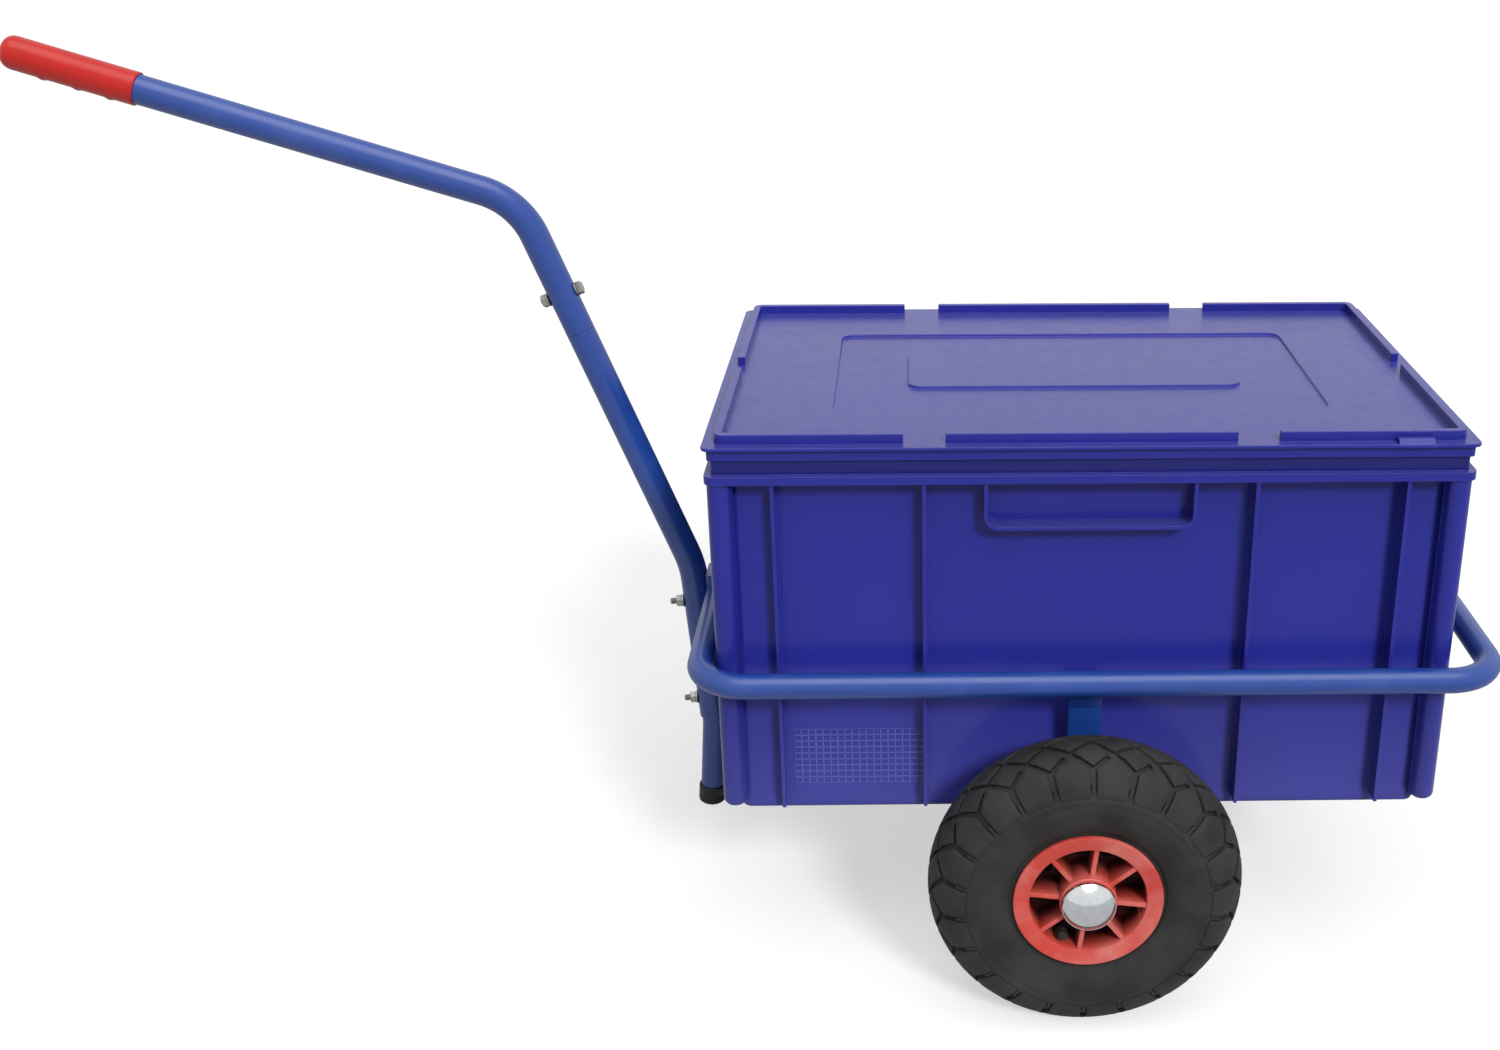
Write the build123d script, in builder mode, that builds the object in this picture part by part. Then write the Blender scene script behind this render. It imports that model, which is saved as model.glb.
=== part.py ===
from build123d import *
from math import cos, radians, sin
import os

# Hand cart: a lidded stacking container in a tube hoop, on two pneumatic wheels, pulled by a bent drawbar.
# The origin is on the floor under the middle of the axle. The drawbar points to -X and -Y is the left side.

# General gaps
fit_gap = 0.1  # between pieces of the frame that sit on each other
weld_gap = 0.1  # between a bar's shaped end and the tube it is welded to

# Wheels
axle_height = 130.0
axle_radius = 10.0
wheel_offset = 250.0  # from the cart's middle to a wheel's middle plane
tyre_radius = 130.0
section_radius = 40.0  # the tyre's section is round
tyre_wall = 6.0
bead_seat_radius = 53.0
bead_outer = 29.7
bead_inner = 20.0
tube_wall = 2.0
tube_gap = 0.6
bead_step = 1.3  # the flank stands out past the bead
bead_step_height = 1.0
bead_gap = 0.4
web_thickness = 4.0
barrel_wall = 3.5
barrel_width = 34.0
flange_radius = 62.5
flange_thickness = 3.8
hub_half_length = 36.0
hub_bore_radius = 18.2
hub_outer_radius = 23.5
rib_count = 8
rib_thickness = 4.0
rib_depth = 31.0
rib_turn = -7.0  # degrees
rib_overlap = 1.0  # into the hub and the barrel
pocket_radius = 36.0
window_radius = 8.0
rim_bolt_count = 4
valve_radius = 4.0
valve_offset = 14.0
valve_reach = 57.8
valve_bend_radius = 40.0
valve_tip = 32.0
valve_pocket = 5
roller_count = 8
roller_radius = 4.0
roller_ring = 14.1
roller_length = 58.0
cage_inner_radius = 12.0
cage_outer_radius = 16.2
cage_length = 66.0
cage_gap = 0.25

# Axle fittings
hanger_offset = 187.5
hanger_thickness = 5.0
hanger_width = 40.0
spacer_radius = 14.0
washer_radius = 18.0
washer_thickness = 2.0
side_play = 0.4
cap_radius = 21.0
cap_rim = 3.0
cap_height = 13.0
cap_sheet = 1.2
axle_in_cap = 8.0
axle_chamfer = 1.0

# Frame
hoop_tube_radius = 10.5
hoop_wall = 1.5
hoop_height = 296.4
hoop_front = -316.5
hoop_rear = 336.5
hoop_half_width = 221.5
hoop_bend = 43.0
bar_width = 27.0
bar_thickness = 5.0
bar_bend = 7.5
strap_offset = 205.0
strap_turn = 268.0  # height where it leans out to the hoop
upright_width = 30.0
upright_top = 6.0  # along the drawbar, below its lower bend

# Drawbar
tube_radius = 12.5
tube_wall_thickness = 1.5
lower_corner = (-343.3, 307.1)
lean_angle = 4.1  # lower length, from the vertical
steep_angle = 20.85  # middle length, from the vertical
arm_angle = 17.2  # upper arm, above the horizontal
steep_length = 359.6
arm_length = 424.0
lower_length = 155.5
lower_bend = 100.0
upper_bend = 65.0
joint_from_corner = 86.0  # cross bolt, below the upper corner
seam_from_joint = 35.0
sleeve_below_seam = 50.0
sleeve_above_seam = 60.0
stud_places = (35.1, 136.4)
stud_reach = 25.0
grip_length = 108.0
grip_radius = 14.0
grip_end_wall = 7.0
grip_end_round = 9.0
finger_bumps = 3
finger_first = 19.7  # from the grip's open end
finger_pitch = 27.0
finger_radius = 8.0
finger_height = 1.6
finger_width = 15.0

# Support leg
leg_radius = 10.8
leg_insert = 60.0
leg_bend_below = 6.0
leg_bend = 60.0
leg_angle = 4.3
leg_length = 86.0
cap_wall = 1.8
cap_cover = 15.0
cap_floor = 3.0

# M6 fasteners
thread_radius = 3.0
hole_radius = 3.25
nut_flats = 10.0
nut_height = 5.0
head_height = 4.2
small_washer_radius = 6.0
small_washer_thickness = 1.6
thread_past_nut = 1.0
through_length = 50.0  # of a drill that passes right through a tube

# Container
base_height = 163.0
rim_top = 490.0
collar_bottom = 462.0
collar_top = 469.0
collar_length = 606.0
collar_width = 406.0
collar_radius = 8.0
post_inset = 1.5
post_radius = 10.0
post_foot = 6.0
post_web = 14.0
panel_recess = 17.0
panel_radius = 6.0
container_wall = 3.0
floor_thickness = 4.0
foot_outset = 3.0
foot_height = 8.0
foot_slope = 7.0
foot_round = 3.0
post_start = 8.0
band_inset = 6.0
rim_round = 1.0
fin_thickness = 3.0
fin_places = (131.0, 250.0)
end_fin_place = 131.0
grip_frame_half = 84.0
grip_frame_bottom = 422.0
grip_frame_round = 12.0

# Lid
lid_length = 608.0
lid_width = 408.0
lid_radius = 8.0
lid_plate = 3.0
skirt_depth = 9.0
skirt_inset = 4.0
skirt_wall = 2.7
border_inset = 9.5
border_width = 6.5
border_height = 8.0
border_gap = 33.0
border_gap_place = 130.5
end_gap = 30.0
field_length = 411.0
field_width = 225.0
field_depth = 2.5
field_radius = 12.0
panel_length = 286.0
panel_width = 96.0
locating_lip = 6.0
locating_gap = 1.2
tab_width = 29.0
tab_place = 252.0
tab_height = 4.0
tab_depth = 1.0
tab_reach = 9.0
tab_slope = 4.5

os.makedirs("parts", exist_ok=True)

axle_axis = Axis((0, 0, axle_height), (0, 1, 0))
section_ring = tyre_radius - section_radius

# Lines of the drawbar in the middle plane
lean_up = Vector(-sin(radians(lean_angle)), 0, cos(radians(lean_angle)))
steep_up = Vector(-sin(radians(steep_angle)), 0, cos(radians(steep_angle)))
arm_out = Vector(-cos(radians(arm_angle)), 0, sin(radians(arm_angle)))
leg_down = Vector(-sin(radians(leg_angle)), 0, -cos(radians(leg_angle)))
corner_low = Vector(lower_corner[0], 0, lower_corner[1])
corner_high = corner_low + steep_up * steep_length
drawbar_end = corner_low - lean_up * lower_length
joint_point = corner_high - steep_up * joint_from_corner
seam_point = joint_point - steep_up * seam_from_joint
grip_start = arm_length - grip_length

# In these planes Z runs along the tube, X is across the cart
lean_plane = Plane(origin=corner_low, x_dir=(0, 1, 0), z_dir=-lean_up)
arm_plane = Plane(origin=corner_high, x_dir=(0, 1, 0), z_dir=arm_out)

# Each fastener's plane is on the tube's axis and faces the nut
joint_plane = Plane(origin=joint_point, x_dir=(0, 1, 0), z_dir=(-steep_up.Z, 0, steep_up.X))
stud_planes = [
    Plane(origin=corner_low - lean_up * place, x_dir=(0, 1, 0), z_dir=(-lean_up.Z, 0, lean_up.X))
    for place in stud_places
]


def across(start):
    # Section plane at the start of a path in the middle plane
    return Plane(origin=start @ 0, x_dir=(0, 1, 0), z_dir=start % 0)


def wheel_plane(side, outward):
    # Plane square to the axle, facing outwards on the given side
    middle = (0, side * (wheel_offset + outward), axle_height)
    return Plane(origin=middle, x_dir=(1, 0, 0), z_dir=(0, side, 0))


def dome_middle(edge, radius, top):
    # Point half way out on a dome that is as wide as radius at its edge
    rise = top - edge
    sphere = (radius**2 + rise**2) / (2 * rise)
    return (top - sphere + (sphere**2 - (radius / 2) ** 2) ** 0.5, radius / 2)


# Hoop round the container
with BuildPart() as hoop_tube:
    with BuildLine(Plane.XY.offset(hoop_height)) as hoop_line:
        FilletPolyline(
            (hoop_front, -hoop_half_width),
            (hoop_rear, -hoop_half_width),
            (hoop_rear, hoop_half_width),
            (hoop_front, hoop_half_width),
            radius=hoop_bend,
            close=True,
        )
    with BuildSketch(Plane(origin=hoop_line.line @ 0, z_dir=hoop_line.line % 0)):
        Circle(hoop_tube_radius)
        Circle(hoop_tube_radius - hoop_wall, mode=Mode.SUBTRACT)
    sweep(path=hoop_line.line)
hoop_tube.part.label = "hoop_tube"
export_step(hoop_tube.part, "parts/hoop_tube.step")

# Flat bar that goes down from the hoop, under the container and up the other side
bar_middle = base_height - bar_thickness / 2
with BuildPart() as cross_cradle:
    with BuildLine(Plane.YZ) as strap_line:
        FilletPolyline(
            (-hoop_half_width, hoop_height),
            (-strap_offset, strap_turn),
            (-strap_offset, bar_middle),
            (strap_offset, bar_middle),
            (strap_offset, strap_turn),
            (hoop_half_width, hoop_height),
            radius=bar_bend,
        )
    with BuildSketch(Plane(origin=strap_line.line @ 0, x_dir=(1, 0, 0), z_dir=strap_line.line % 0)):
        Rectangle(bar_width, bar_thickness)
    sweep(path=strap_line.line)
    with Locations((0, -hoop_half_width, hoop_height), (0, hoop_half_width, hoop_height)):
        Cylinder(hoop_tube_radius + weld_gap, 2 * bar_width, rotation=(0, 90, 0), mode=Mode.SUBTRACT)
cross_cradle.part.label = "cross_cradle"
export_step(cross_cradle.part, "parts/cross_cradle.step")

# Flat bar behind the drawbar, welded under the hoop
upright_middle = tube_radius + fit_gap + bar_thickness / 2
with BuildPart() as front_upright:
    with BuildSketch(lean_plane.offset(upright_top)):
        with Locations((0, upright_middle)):
            Rectangle(upright_width, bar_thickness)
    extrude(amount=lower_length - upright_top)
    with Locations((hoop_front, 0, hoop_height)):
        Cylinder(hoop_tube_radius + weld_gap, 2 * upright_width, rotation=(90, 0, 0), mode=Mode.SUBTRACT)
front_upright.part.label = "front_upright"
export_step(front_upright.part, "parts/front_upright.step")

# Flat bar under the container from the cross cradle to the front upright
rearward = Vector(lean_up.Z, 0, -lean_up.X)
upright_back = Plane(
    origin=corner_low + rearward * (upright_middle + bar_thickness / 2), x_dir=(0, 1, 0), z_dir=rearward
)
with BuildPart() as front_cradle:
    with BuildSketch(Plane.YZ.offset(-bar_width / 2)):
        with Locations((0, bar_middle)):
            Rectangle(upright_width, bar_thickness)
    extrude(amount=hoop_front)
    split(bisect_by=upright_back, keep=Keep.TOP)
front_cradle.part.label = "front_cradle"
export_step(front_cradle.part, "parts/front_cradle.step")

# Flat bar under the container that turns up to the hoop at the rear
with BuildPart() as rear_cradle:
    with BuildLine(Plane.XZ) as rear_line:
        FilletPolyline(
            (bar_width / 2, bar_middle),
            (hoop_rear, bar_middle),
            (hoop_rear, hoop_height),
            radius=bar_bend,
        )
    with BuildSketch(across(rear_line.line)):
        Rectangle(upright_width, bar_thickness)
    sweep(path=rear_line.line)
    with Locations((hoop_rear, 0, hoop_height)):
        Cylinder(hoop_tube_radius + weld_gap, 2 * upright_width, rotation=(90, 0, 0), mode=Mode.SUBTRACT)
rear_cradle.part.label = "rear_cradle"
export_step(rear_cradle.part, "parts/rear_cradle.step")

# Lower length of the drawbar, with its bend and the holes for the studs
with BuildPart() as drawbar_lower:
    with BuildLine() as lower_line:
        FilletPolyline(drawbar_end, corner_low, seam_point, radius=lower_bend)
    with BuildSketch(across(lower_line.line)):
        Circle(tube_radius)
        Circle(tube_radius - tube_wall_thickness, mode=Mode.SUBTRACT)
    sweep(path=lower_line.line)
    with Locations(*[plane.location for plane in stud_planes]):
        Cylinder(hole_radius, through_length, mode=Mode.SUBTRACT)
drawbar_lower.part.label = "drawbar_lower"
export_step(drawbar_lower.part, "parts/drawbar_lower.step")

# Upper length of the drawbar, up to the grip's closed end
with BuildPart() as drawbar_upper:
    with BuildLine() as upper_line:
        FilletPolyline(
            seam_point, corner_high, corner_high + arm_out * (arm_length - grip_end_wall), radius=upper_bend
        )
    with BuildSketch(across(upper_line.line)):
        Circle(tube_radius)
        Circle(tube_radius - tube_wall_thickness, mode=Mode.SUBTRACT)
    sweep(path=upper_line.line)
    with Locations(joint_plane.location):
        Cylinder(hole_radius, through_length, mode=Mode.SUBTRACT)
drawbar_upper.part.label = "drawbar_upper"
export_step(drawbar_upper.part, "parts/drawbar_upper.step")

# Spigot inside both lengths of the drawbar
sleeve_radius = tube_radius - tube_wall_thickness - fit_gap
with BuildPart() as joint_sleeve:
    with BuildSketch(Plane(origin=seam_point - steep_up * sleeve_below_seam, z_dir=steep_up)):
        Circle(sleeve_radius)
        Circle(sleeve_radius - tube_wall_thickness, mode=Mode.SUBTRACT)
    extrude(amount=sleeve_below_seam + sleeve_above_seam)
    with Locations(joint_plane.location):
        Cylinder(hole_radius, through_length, mode=Mode.SUBTRACT)
joint_sleeve.part.label = "joint_sleeve"
export_step(joint_sleeve.part, "parts/joint_sleeve.step")

# Handle grip, pushed over the drawbar's end, with finger bumps below
with BuildPart() as grip:
    with BuildSketch(arm_plane.offset(grip_start)):
        Circle(grip_radius)
    extrude(amount=grip_length)
    fillet(grip.faces().sort_by(Axis(corner_high, arm_out))[-1].edges(), grip_end_round)
    bump_depth = grip_radius + finger_height - finger_radius
    first_bump = grip_start + finger_first
    with Locations(arm_plane.location):
        with Locations(*[(0, bump_depth, first_bump + step * finger_pitch) for step in range(finger_bumps)]):
            Cylinder(finger_radius, finger_width, rotation=(0, 90, 0))
    with BuildSketch(arm_plane.offset(grip_start)):
        Circle(tube_radius + fit_gap)
    extrude(amount=grip_length - grip_end_wall + fit_gap, mode=Mode.SUBTRACT)
grip.part.label = "grip"
export_step(grip.part, "parts/grip.step")

# Leg tube, its upper end inside the drawbar
leg_start = drawbar_end + lean_up * leg_insert
leg_corner = drawbar_end - lean_up * leg_bend_below
leg_end = leg_corner + leg_down * leg_length
with BuildPart() as support_leg:
    with BuildLine() as leg_line:
        FilletPolyline(leg_start, leg_corner, leg_end, radius=leg_bend)
    with BuildSketch(across(leg_line.line)):
        Circle(leg_radius)
        Circle(leg_radius - tube_wall_thickness, mode=Mode.SUBTRACT)
    sweep(path=leg_line.line)
    with Locations(stud_planes[-1].location):
        Cylinder(hole_radius, through_length, mode=Mode.SUBTRACT)
support_leg.part.label = "support_leg"
export_step(support_leg.part, "parts/support_leg.step")

# Plastic cap on the leg's lower end
cap_plane = Plane(origin=leg_end - leg_down * cap_cover, x_dir=(0, 1, 0), z_dir=leg_down)
with BuildPart() as leg_cap:
    with BuildSketch(cap_plane):
        Circle(leg_radius + fit_gap + cap_wall)
    extrude(amount=cap_cover + fit_gap + cap_floor)
    fillet(leg_cap.faces().sort_by(Axis(leg_end, leg_down))[-1].edges(), cap_floor)
    with BuildSketch(cap_plane):
        Circle(leg_radius + fit_gap)
    extrude(amount=cap_cover + fit_gap, mode=Mode.SUBTRACT)
leg_cap.part.label = "leg_cap"
export_step(leg_cap.part, "parts/leg_cap.step")

# Cross bolt of the drawbar joint: head at the rear, thread end at the front
washer_seat = tube_radius + fit_gap
nut_seat = washer_seat + small_washer_thickness
thread_end = nut_seat + nut_height + thread_past_nut
with BuildPart() as joint_bolt:
    with BuildSketch(joint_plane.offset(-nut_seat)):
        RegularPolygon(nut_flats / 2, 6, major_radius=False)
    extrude(amount=-head_height)
    with BuildSketch(joint_plane.offset(-nut_seat)):
        Circle(thread_radius)
    extrude(amount=nut_seat + thread_end)
joint_bolt.part.label = "joint_bolt"
export_step(joint_bolt.part, "parts/joint_bolt.step")

# Threaded studs welded to the front upright
with BuildPart() as frame_studs:
    with BuildSketch(*[plane.offset(-tube_radius - fit_gap) for plane in stud_planes]):
        Circle(thread_radius)
    extrude(amount=tube_radius + fit_gap + stud_reach)
frame_studs.part.label = "frame_studs"
export_step(frame_studs.part, "parts/frame_studs.step")

# Nuts on the cross bolt and the studs
nut_planes = [plane.offset(nut_seat) for plane in (joint_plane, *stud_planes)]
with BuildPart() as drawbar_nuts:
    with BuildSketch(*nut_planes):
        RegularPolygon(nut_flats / 2, 6, major_radius=False)
        Circle(thread_radius + fit_gap, mode=Mode.SUBTRACT)
    extrude(amount=nut_height)
drawbar_nuts.part.label = "drawbar_nuts"
export_step(drawbar_nuts.part, "parts/drawbar_nuts.step")

# Washers under the nuts and under the cross bolt's head
washer_planes = [plane.offset(washer_seat) for plane in (joint_plane, *stud_planes)]
with BuildPart() as drawbar_washers:
    with BuildSketch(*washer_planes, joint_plane.offset(-nut_seat)):
        Circle(small_washer_radius)
        Circle(thread_radius + fit_gap, mode=Mode.SUBTRACT)
    extrude(amount=small_washer_thickness)
drawbar_washers.part.label = "drawbar_washers"
export_step(drawbar_washers.part, "parts/drawbar_washers.step")

# Axle bar through both wheels
hub_outer_face = wheel_offset + hub_half_length
hub_inner_face = wheel_offset - hub_half_length
cap_seat = hub_outer_face + side_play + washer_thickness + fit_gap
axle_half = cap_seat + axle_in_cap
with BuildPart() as axle:
    with BuildSketch(Plane(origin=(0, -axle_half, axle_height), z_dir=(0, 1, 0))):
        Circle(axle_radius)
    extrude(amount=2 * axle_half)
    chamfer(axle.edges().filter_by(GeomType.CIRCLE), axle_chamfer)
axle.part.label = "axle"
export_step(axle.part, "parts/axle.step")

# Washers on both faces of both hubs
outer_washer = hub_outer_face + side_play
inner_washer = hub_inner_face - side_play - washer_thickness
with BuildPart() as axle_washers:
    for side in (-1, 1):
        for washer_start in (outer_washer, inner_washer):
            with BuildSketch(Plane(origin=(0, side * washer_start, axle_height), z_dir=(0, side, 0))):
                Circle(washer_radius)
                Circle(axle_radius + fit_gap, mode=Mode.SUBTRACT)
            extrude(amount=washer_thickness)
axle_washers.part.label = "axle_washers"
export_step(axle_washers.part, "parts/axle_washers.step")

for side, side_name in ((-1, "left"), (1, "right")):
    # Plate under the cross cradle that holds the axle
    hanger_top = bar_middle - bar_thickness / 2
    with BuildPart() as axle_hanger:
        with BuildSketch(Plane.XZ.offset(-side * hanger_offset)):
            with Locations((0, axle_height)):
                Circle(hanger_width / 2)
            with Locations((0, (hanger_top + axle_height) / 2)):
                Rectangle(hanger_width, hanger_top - axle_height)
            with Locations((0, axle_height)):
                Circle(axle_radius + fit_gap, mode=Mode.SUBTRACT)
        extrude(amount=hanger_thickness / 2, both=True)
    axle_hanger.part.label = f"axle_hanger_{side_name}"
    export_step(axle_hanger.part, f"parts/axle_hanger_{side_name}.step")

    # Spacer tube between the hanger and the hub
    spacer_start = hanger_offset + hanger_thickness / 2
    spacer_length = inner_washer - fit_gap - spacer_start
    with BuildPart() as axle_spacer:
        with BuildSketch(Plane(origin=(0, side * spacer_start, axle_height), z_dir=(0, side, 0))):
            Circle(spacer_radius)
            Circle(axle_radius + fit_gap, mode=Mode.SUBTRACT)
        extrude(amount=spacer_length)
    axle_spacer.part.label = f"axle_spacer_{side_name}"
    export_step(axle_spacer.part, f"parts/axle_spacer_{side_name}.step")

    # Domed cap of sheet metal, pushed on the axle's end
    cap_edge = cap_seat + cap_rim
    cap_top = cap_seat + cap_height
    inner_edge = cap_radius - cap_sheet
    inner_top = cap_top - cap_sheet
    with BuildPart() as hub_cap:
        with BuildSketch(Plane(origin=(0, 0, axle_height), x_dir=(0, side, 0), z_dir=(side, 0, 0))):
            with BuildLine():
                Polyline(
                    (cap_edge, inner_edge),
                    (cap_seat + cap_sheet, inner_edge),
                    (cap_seat + cap_sheet, axle_radius + fit_gap),
                    (cap_seat, axle_radius + fit_gap),
                    (cap_seat, cap_radius),
                    (cap_edge, cap_radius),
                )
                outer_middle = dome_middle(cap_edge, cap_radius, cap_top)
                inner_middle = dome_middle(cap_edge, inner_edge, inner_top)
                ThreePointArc((cap_edge, cap_radius), outer_middle, (cap_top, 0))
                Line((cap_top, 0), (inner_top, 0))
                ThreePointArc((inner_top, 0), inner_middle, (cap_edge, inner_edge))
            make_face()
        revolve(axis=axle_axis)
    hub_cap.part.label = f"hub_cap_{side_name}"
    export_step(hub_cap.part, f"parts/hub_cap_{side_name}.step")

    # Tyre: round section, open between the beads
    wheel_section = Plane(origin=(0, side * wheel_offset, axle_height), x_dir=(0, 1, 0), z_dir=(1, 0, 0))
    flank = bead_outer + bead_step
    flank_radius = section_ring - (section_radius**2 - flank**2) ** 0.5
    cavity_radius = section_radius - tyre_wall
    lip_radius = section_ring - (cavity_radius**2 - bead_inner**2) ** 0.5
    step_radius = flank_radius - bead_step_height
    seat_radius = bead_seat_radius + bead_gap
    with BuildPart() as tyre:
        with BuildSketch(wheel_section):
            with BuildLine():
                ThreePointArc((-flank, flank_radius), (0, tyre_radius), (flank, flank_radius))
                Polyline(
                    (flank, flank_radius),
                    (bead_outer, step_radius),
                    (bead_outer, seat_radius),
                    (bead_inner, seat_radius),
                    (bead_inner, lip_radius),
                )
                crown = (0, tyre_radius - tyre_wall)
                ThreePointArc((bead_inner, lip_radius), crown, (-bead_inner, lip_radius))
                Polyline(
                    (-bead_inner, lip_radius),
                    (-bead_inner, seat_radius),
                    (-bead_outer, seat_radius),
                    (-bead_outer, step_radius),
                    (-flank, flank_radius),
                )
            make_face()
        revolve(axis=axle_axis)
    tyre.part.label = f"tyre_{side_name}"
    export_step(tyre.part, f"parts/tyre_{side_name}.step")

    # Air tube inside the tyre
    with BuildPart() as inner_tube:
        with BuildSketch(wheel_section):
            with Locations((0, section_ring)):
                Circle(cavity_radius - tube_gap)
                Circle(cavity_radius - tube_gap - tube_wall, mode=Mode.SUBTRACT)
        revolve(axis=axle_axis)
    inner_tube.part.label = f"inner_tube_{side_name}"
    export_step(inner_tube.part, f"parts/inner_tube_{side_name}.step")

    # Two moulded rim halves that meet in the wheel's middle plane
    pocket_turn = rib_turn + 180 / rib_count
    window_turn = pocket_turn + 180 / rim_bolt_count
    valve_turn = pocket_turn + valve_pocket * 360 / rib_count
    rib_start = hub_outer_radius - rib_overlap
    rib_end = bead_seat_radius - barrel_wall + rib_overlap
    for half, half_name in ((1, "outer"), (-1, "inner")):
        with BuildPart() as rim_half:
            with BuildSketch(wheel_plane(side, 0)):
                Circle(bead_seat_radius)
                Circle(hub_bore_radius, mode=Mode.SUBTRACT)
            extrude(amount=half * web_thickness)
            with BuildSketch(wheel_plane(side, 0)):
                Circle(bead_seat_radius)
                Circle(bead_seat_radius - barrel_wall, mode=Mode.SUBTRACT)
            extrude(amount=half * barrel_width)
            with BuildSketch(wheel_plane(side, 0)):
                Circle(hub_outer_radius)
                Circle(hub_bore_radius, mode=Mode.SUBTRACT)
            extrude(amount=half * hub_half_length)
            with BuildSketch(wheel_plane(side, half * barrel_width)):
                Circle(flange_radius)
                Circle(bead_seat_radius - barrel_wall, mode=Mode.SUBTRACT)
            extrude(amount=-half * flange_thickness)
            with BuildSketch(wheel_plane(side, 0)):
                with PolarLocations((rib_start + rib_end) / 2, rib_count, start_angle=rib_turn):
                    Rectangle(rib_end - rib_start, rib_thickness)
            extrude(amount=half * rib_depth)
            with BuildSketch(wheel_plane(side, 0)):
                with PolarLocations(pocket_radius, rim_bolt_count, start_angle=pocket_turn):
                    Circle(hole_radius)
                with PolarLocations(pocket_radius, rim_bolt_count, start_angle=window_turn):
                    Circle(window_radius)
            extrude(amount=half * web_thickness, mode=Mode.SUBTRACT)
            if half_name == "outer":
                valve_hole = valve_radius + fit_gap
                with Locations(wheel_plane(side, valve_offset).location):
                    with PolarLocations(bead_seat_radius, 1, start_angle=valve_turn):
                        Cylinder(valve_hole, 3 * barrel_wall, rotation=(0, 90, 0), mode=Mode.SUBTRACT)
        rim_half.part.label = f"rim_{half_name}_{side_name}"
        export_step(rim_half.part, f"parts/rim_{half_name}_{side_name}.step")

    # Valve: out of the air tube, through the rim and round to the outside
    with BuildPart() as valve:
        with Locations(wheel_plane(side, valve_offset).location):
            with PolarLocations(valve_bend_radius, 1, start_angle=valve_turn):
                Sphere(valve_radius)
                Cylinder(
                    valve_radius,
                    valve_reach - valve_bend_radius,
                    rotation=(0, 90, 0),
                    align=(Align.CENTER, Align.CENTER, Align.MIN),
                )
                Cylinder(
                    valve_radius,
                    valve_tip - valve_offset,
                    align=(Align.CENTER, Align.CENTER, Align.MIN),
                )
    valve.part.label = f"valve_{side_name}"
    export_step(valve.part, f"parts/valve_{side_name}.step")

    # Bolts and nuts that hold the rim halves together
    bolt_end = web_thickness + nut_height + thread_past_nut
    with BuildPart() as rim_bolts:
        with BuildSketch(wheel_plane(side, web_thickness)):
            with PolarLocations(pocket_radius, rim_bolt_count, start_angle=pocket_turn):
                RegularPolygon(nut_flats / 2, 6, major_radius=False)
        extrude(amount=head_height)
        with BuildSketch(wheel_plane(side, web_thickness)):
            with PolarLocations(pocket_radius, rim_bolt_count, start_angle=pocket_turn):
                Circle(thread_radius)
        extrude(amount=-web_thickness - bolt_end)
    rim_bolts.part.label = f"rim_bolts_{side_name}"
    export_step(rim_bolts.part, f"parts/rim_bolts_{side_name}.step")

    with BuildPart() as rim_nuts:
        with BuildSketch(wheel_plane(side, -web_thickness)):
            with PolarLocations(pocket_radius, rim_bolt_count, start_angle=pocket_turn):
                RegularPolygon(nut_flats / 2, 6, major_radius=False)
                Circle(thread_radius + fit_gap, mode=Mode.SUBTRACT)
        extrude(amount=-nut_height)
    rim_nuts.part.label = f"rim_nuts_{side_name}"
    export_step(rim_nuts.part, f"parts/rim_nuts_{side_name}.step")

    # Roller bearing in the hub: a slotted cage and its rollers
    with BuildPart() as rollers:
        with BuildSketch(wheel_plane(side, -roller_length / 2)):
            with PolarLocations(roller_ring, roller_count):
                Circle(roller_radius)
        extrude(amount=roller_length)
    rollers.part.label = f"rollers_{side_name}"
    export_step(rollers.part, f"parts/rollers_{side_name}.step")

    with BuildPart() as roller_cage:
        with BuildSketch(wheel_plane(side, -cage_length / 2)):
            Circle(cage_outer_radius)
            Circle(cage_inner_radius, mode=Mode.SUBTRACT)
        extrude(amount=cage_length)
        with BuildSketch(wheel_plane(side, -roller_length / 2 - cage_gap)):
            with PolarLocations(roller_ring, roller_count):
                Circle(roller_radius + cage_gap)
        extrude(amount=roller_length + 2 * cage_gap, mode=Mode.SUBTRACT)
    roller_cage.part.label = f"roller_cage_{side_name}"
    export_step(roller_cage.part, f"parts/roller_cage_{side_name}.step")

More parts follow.
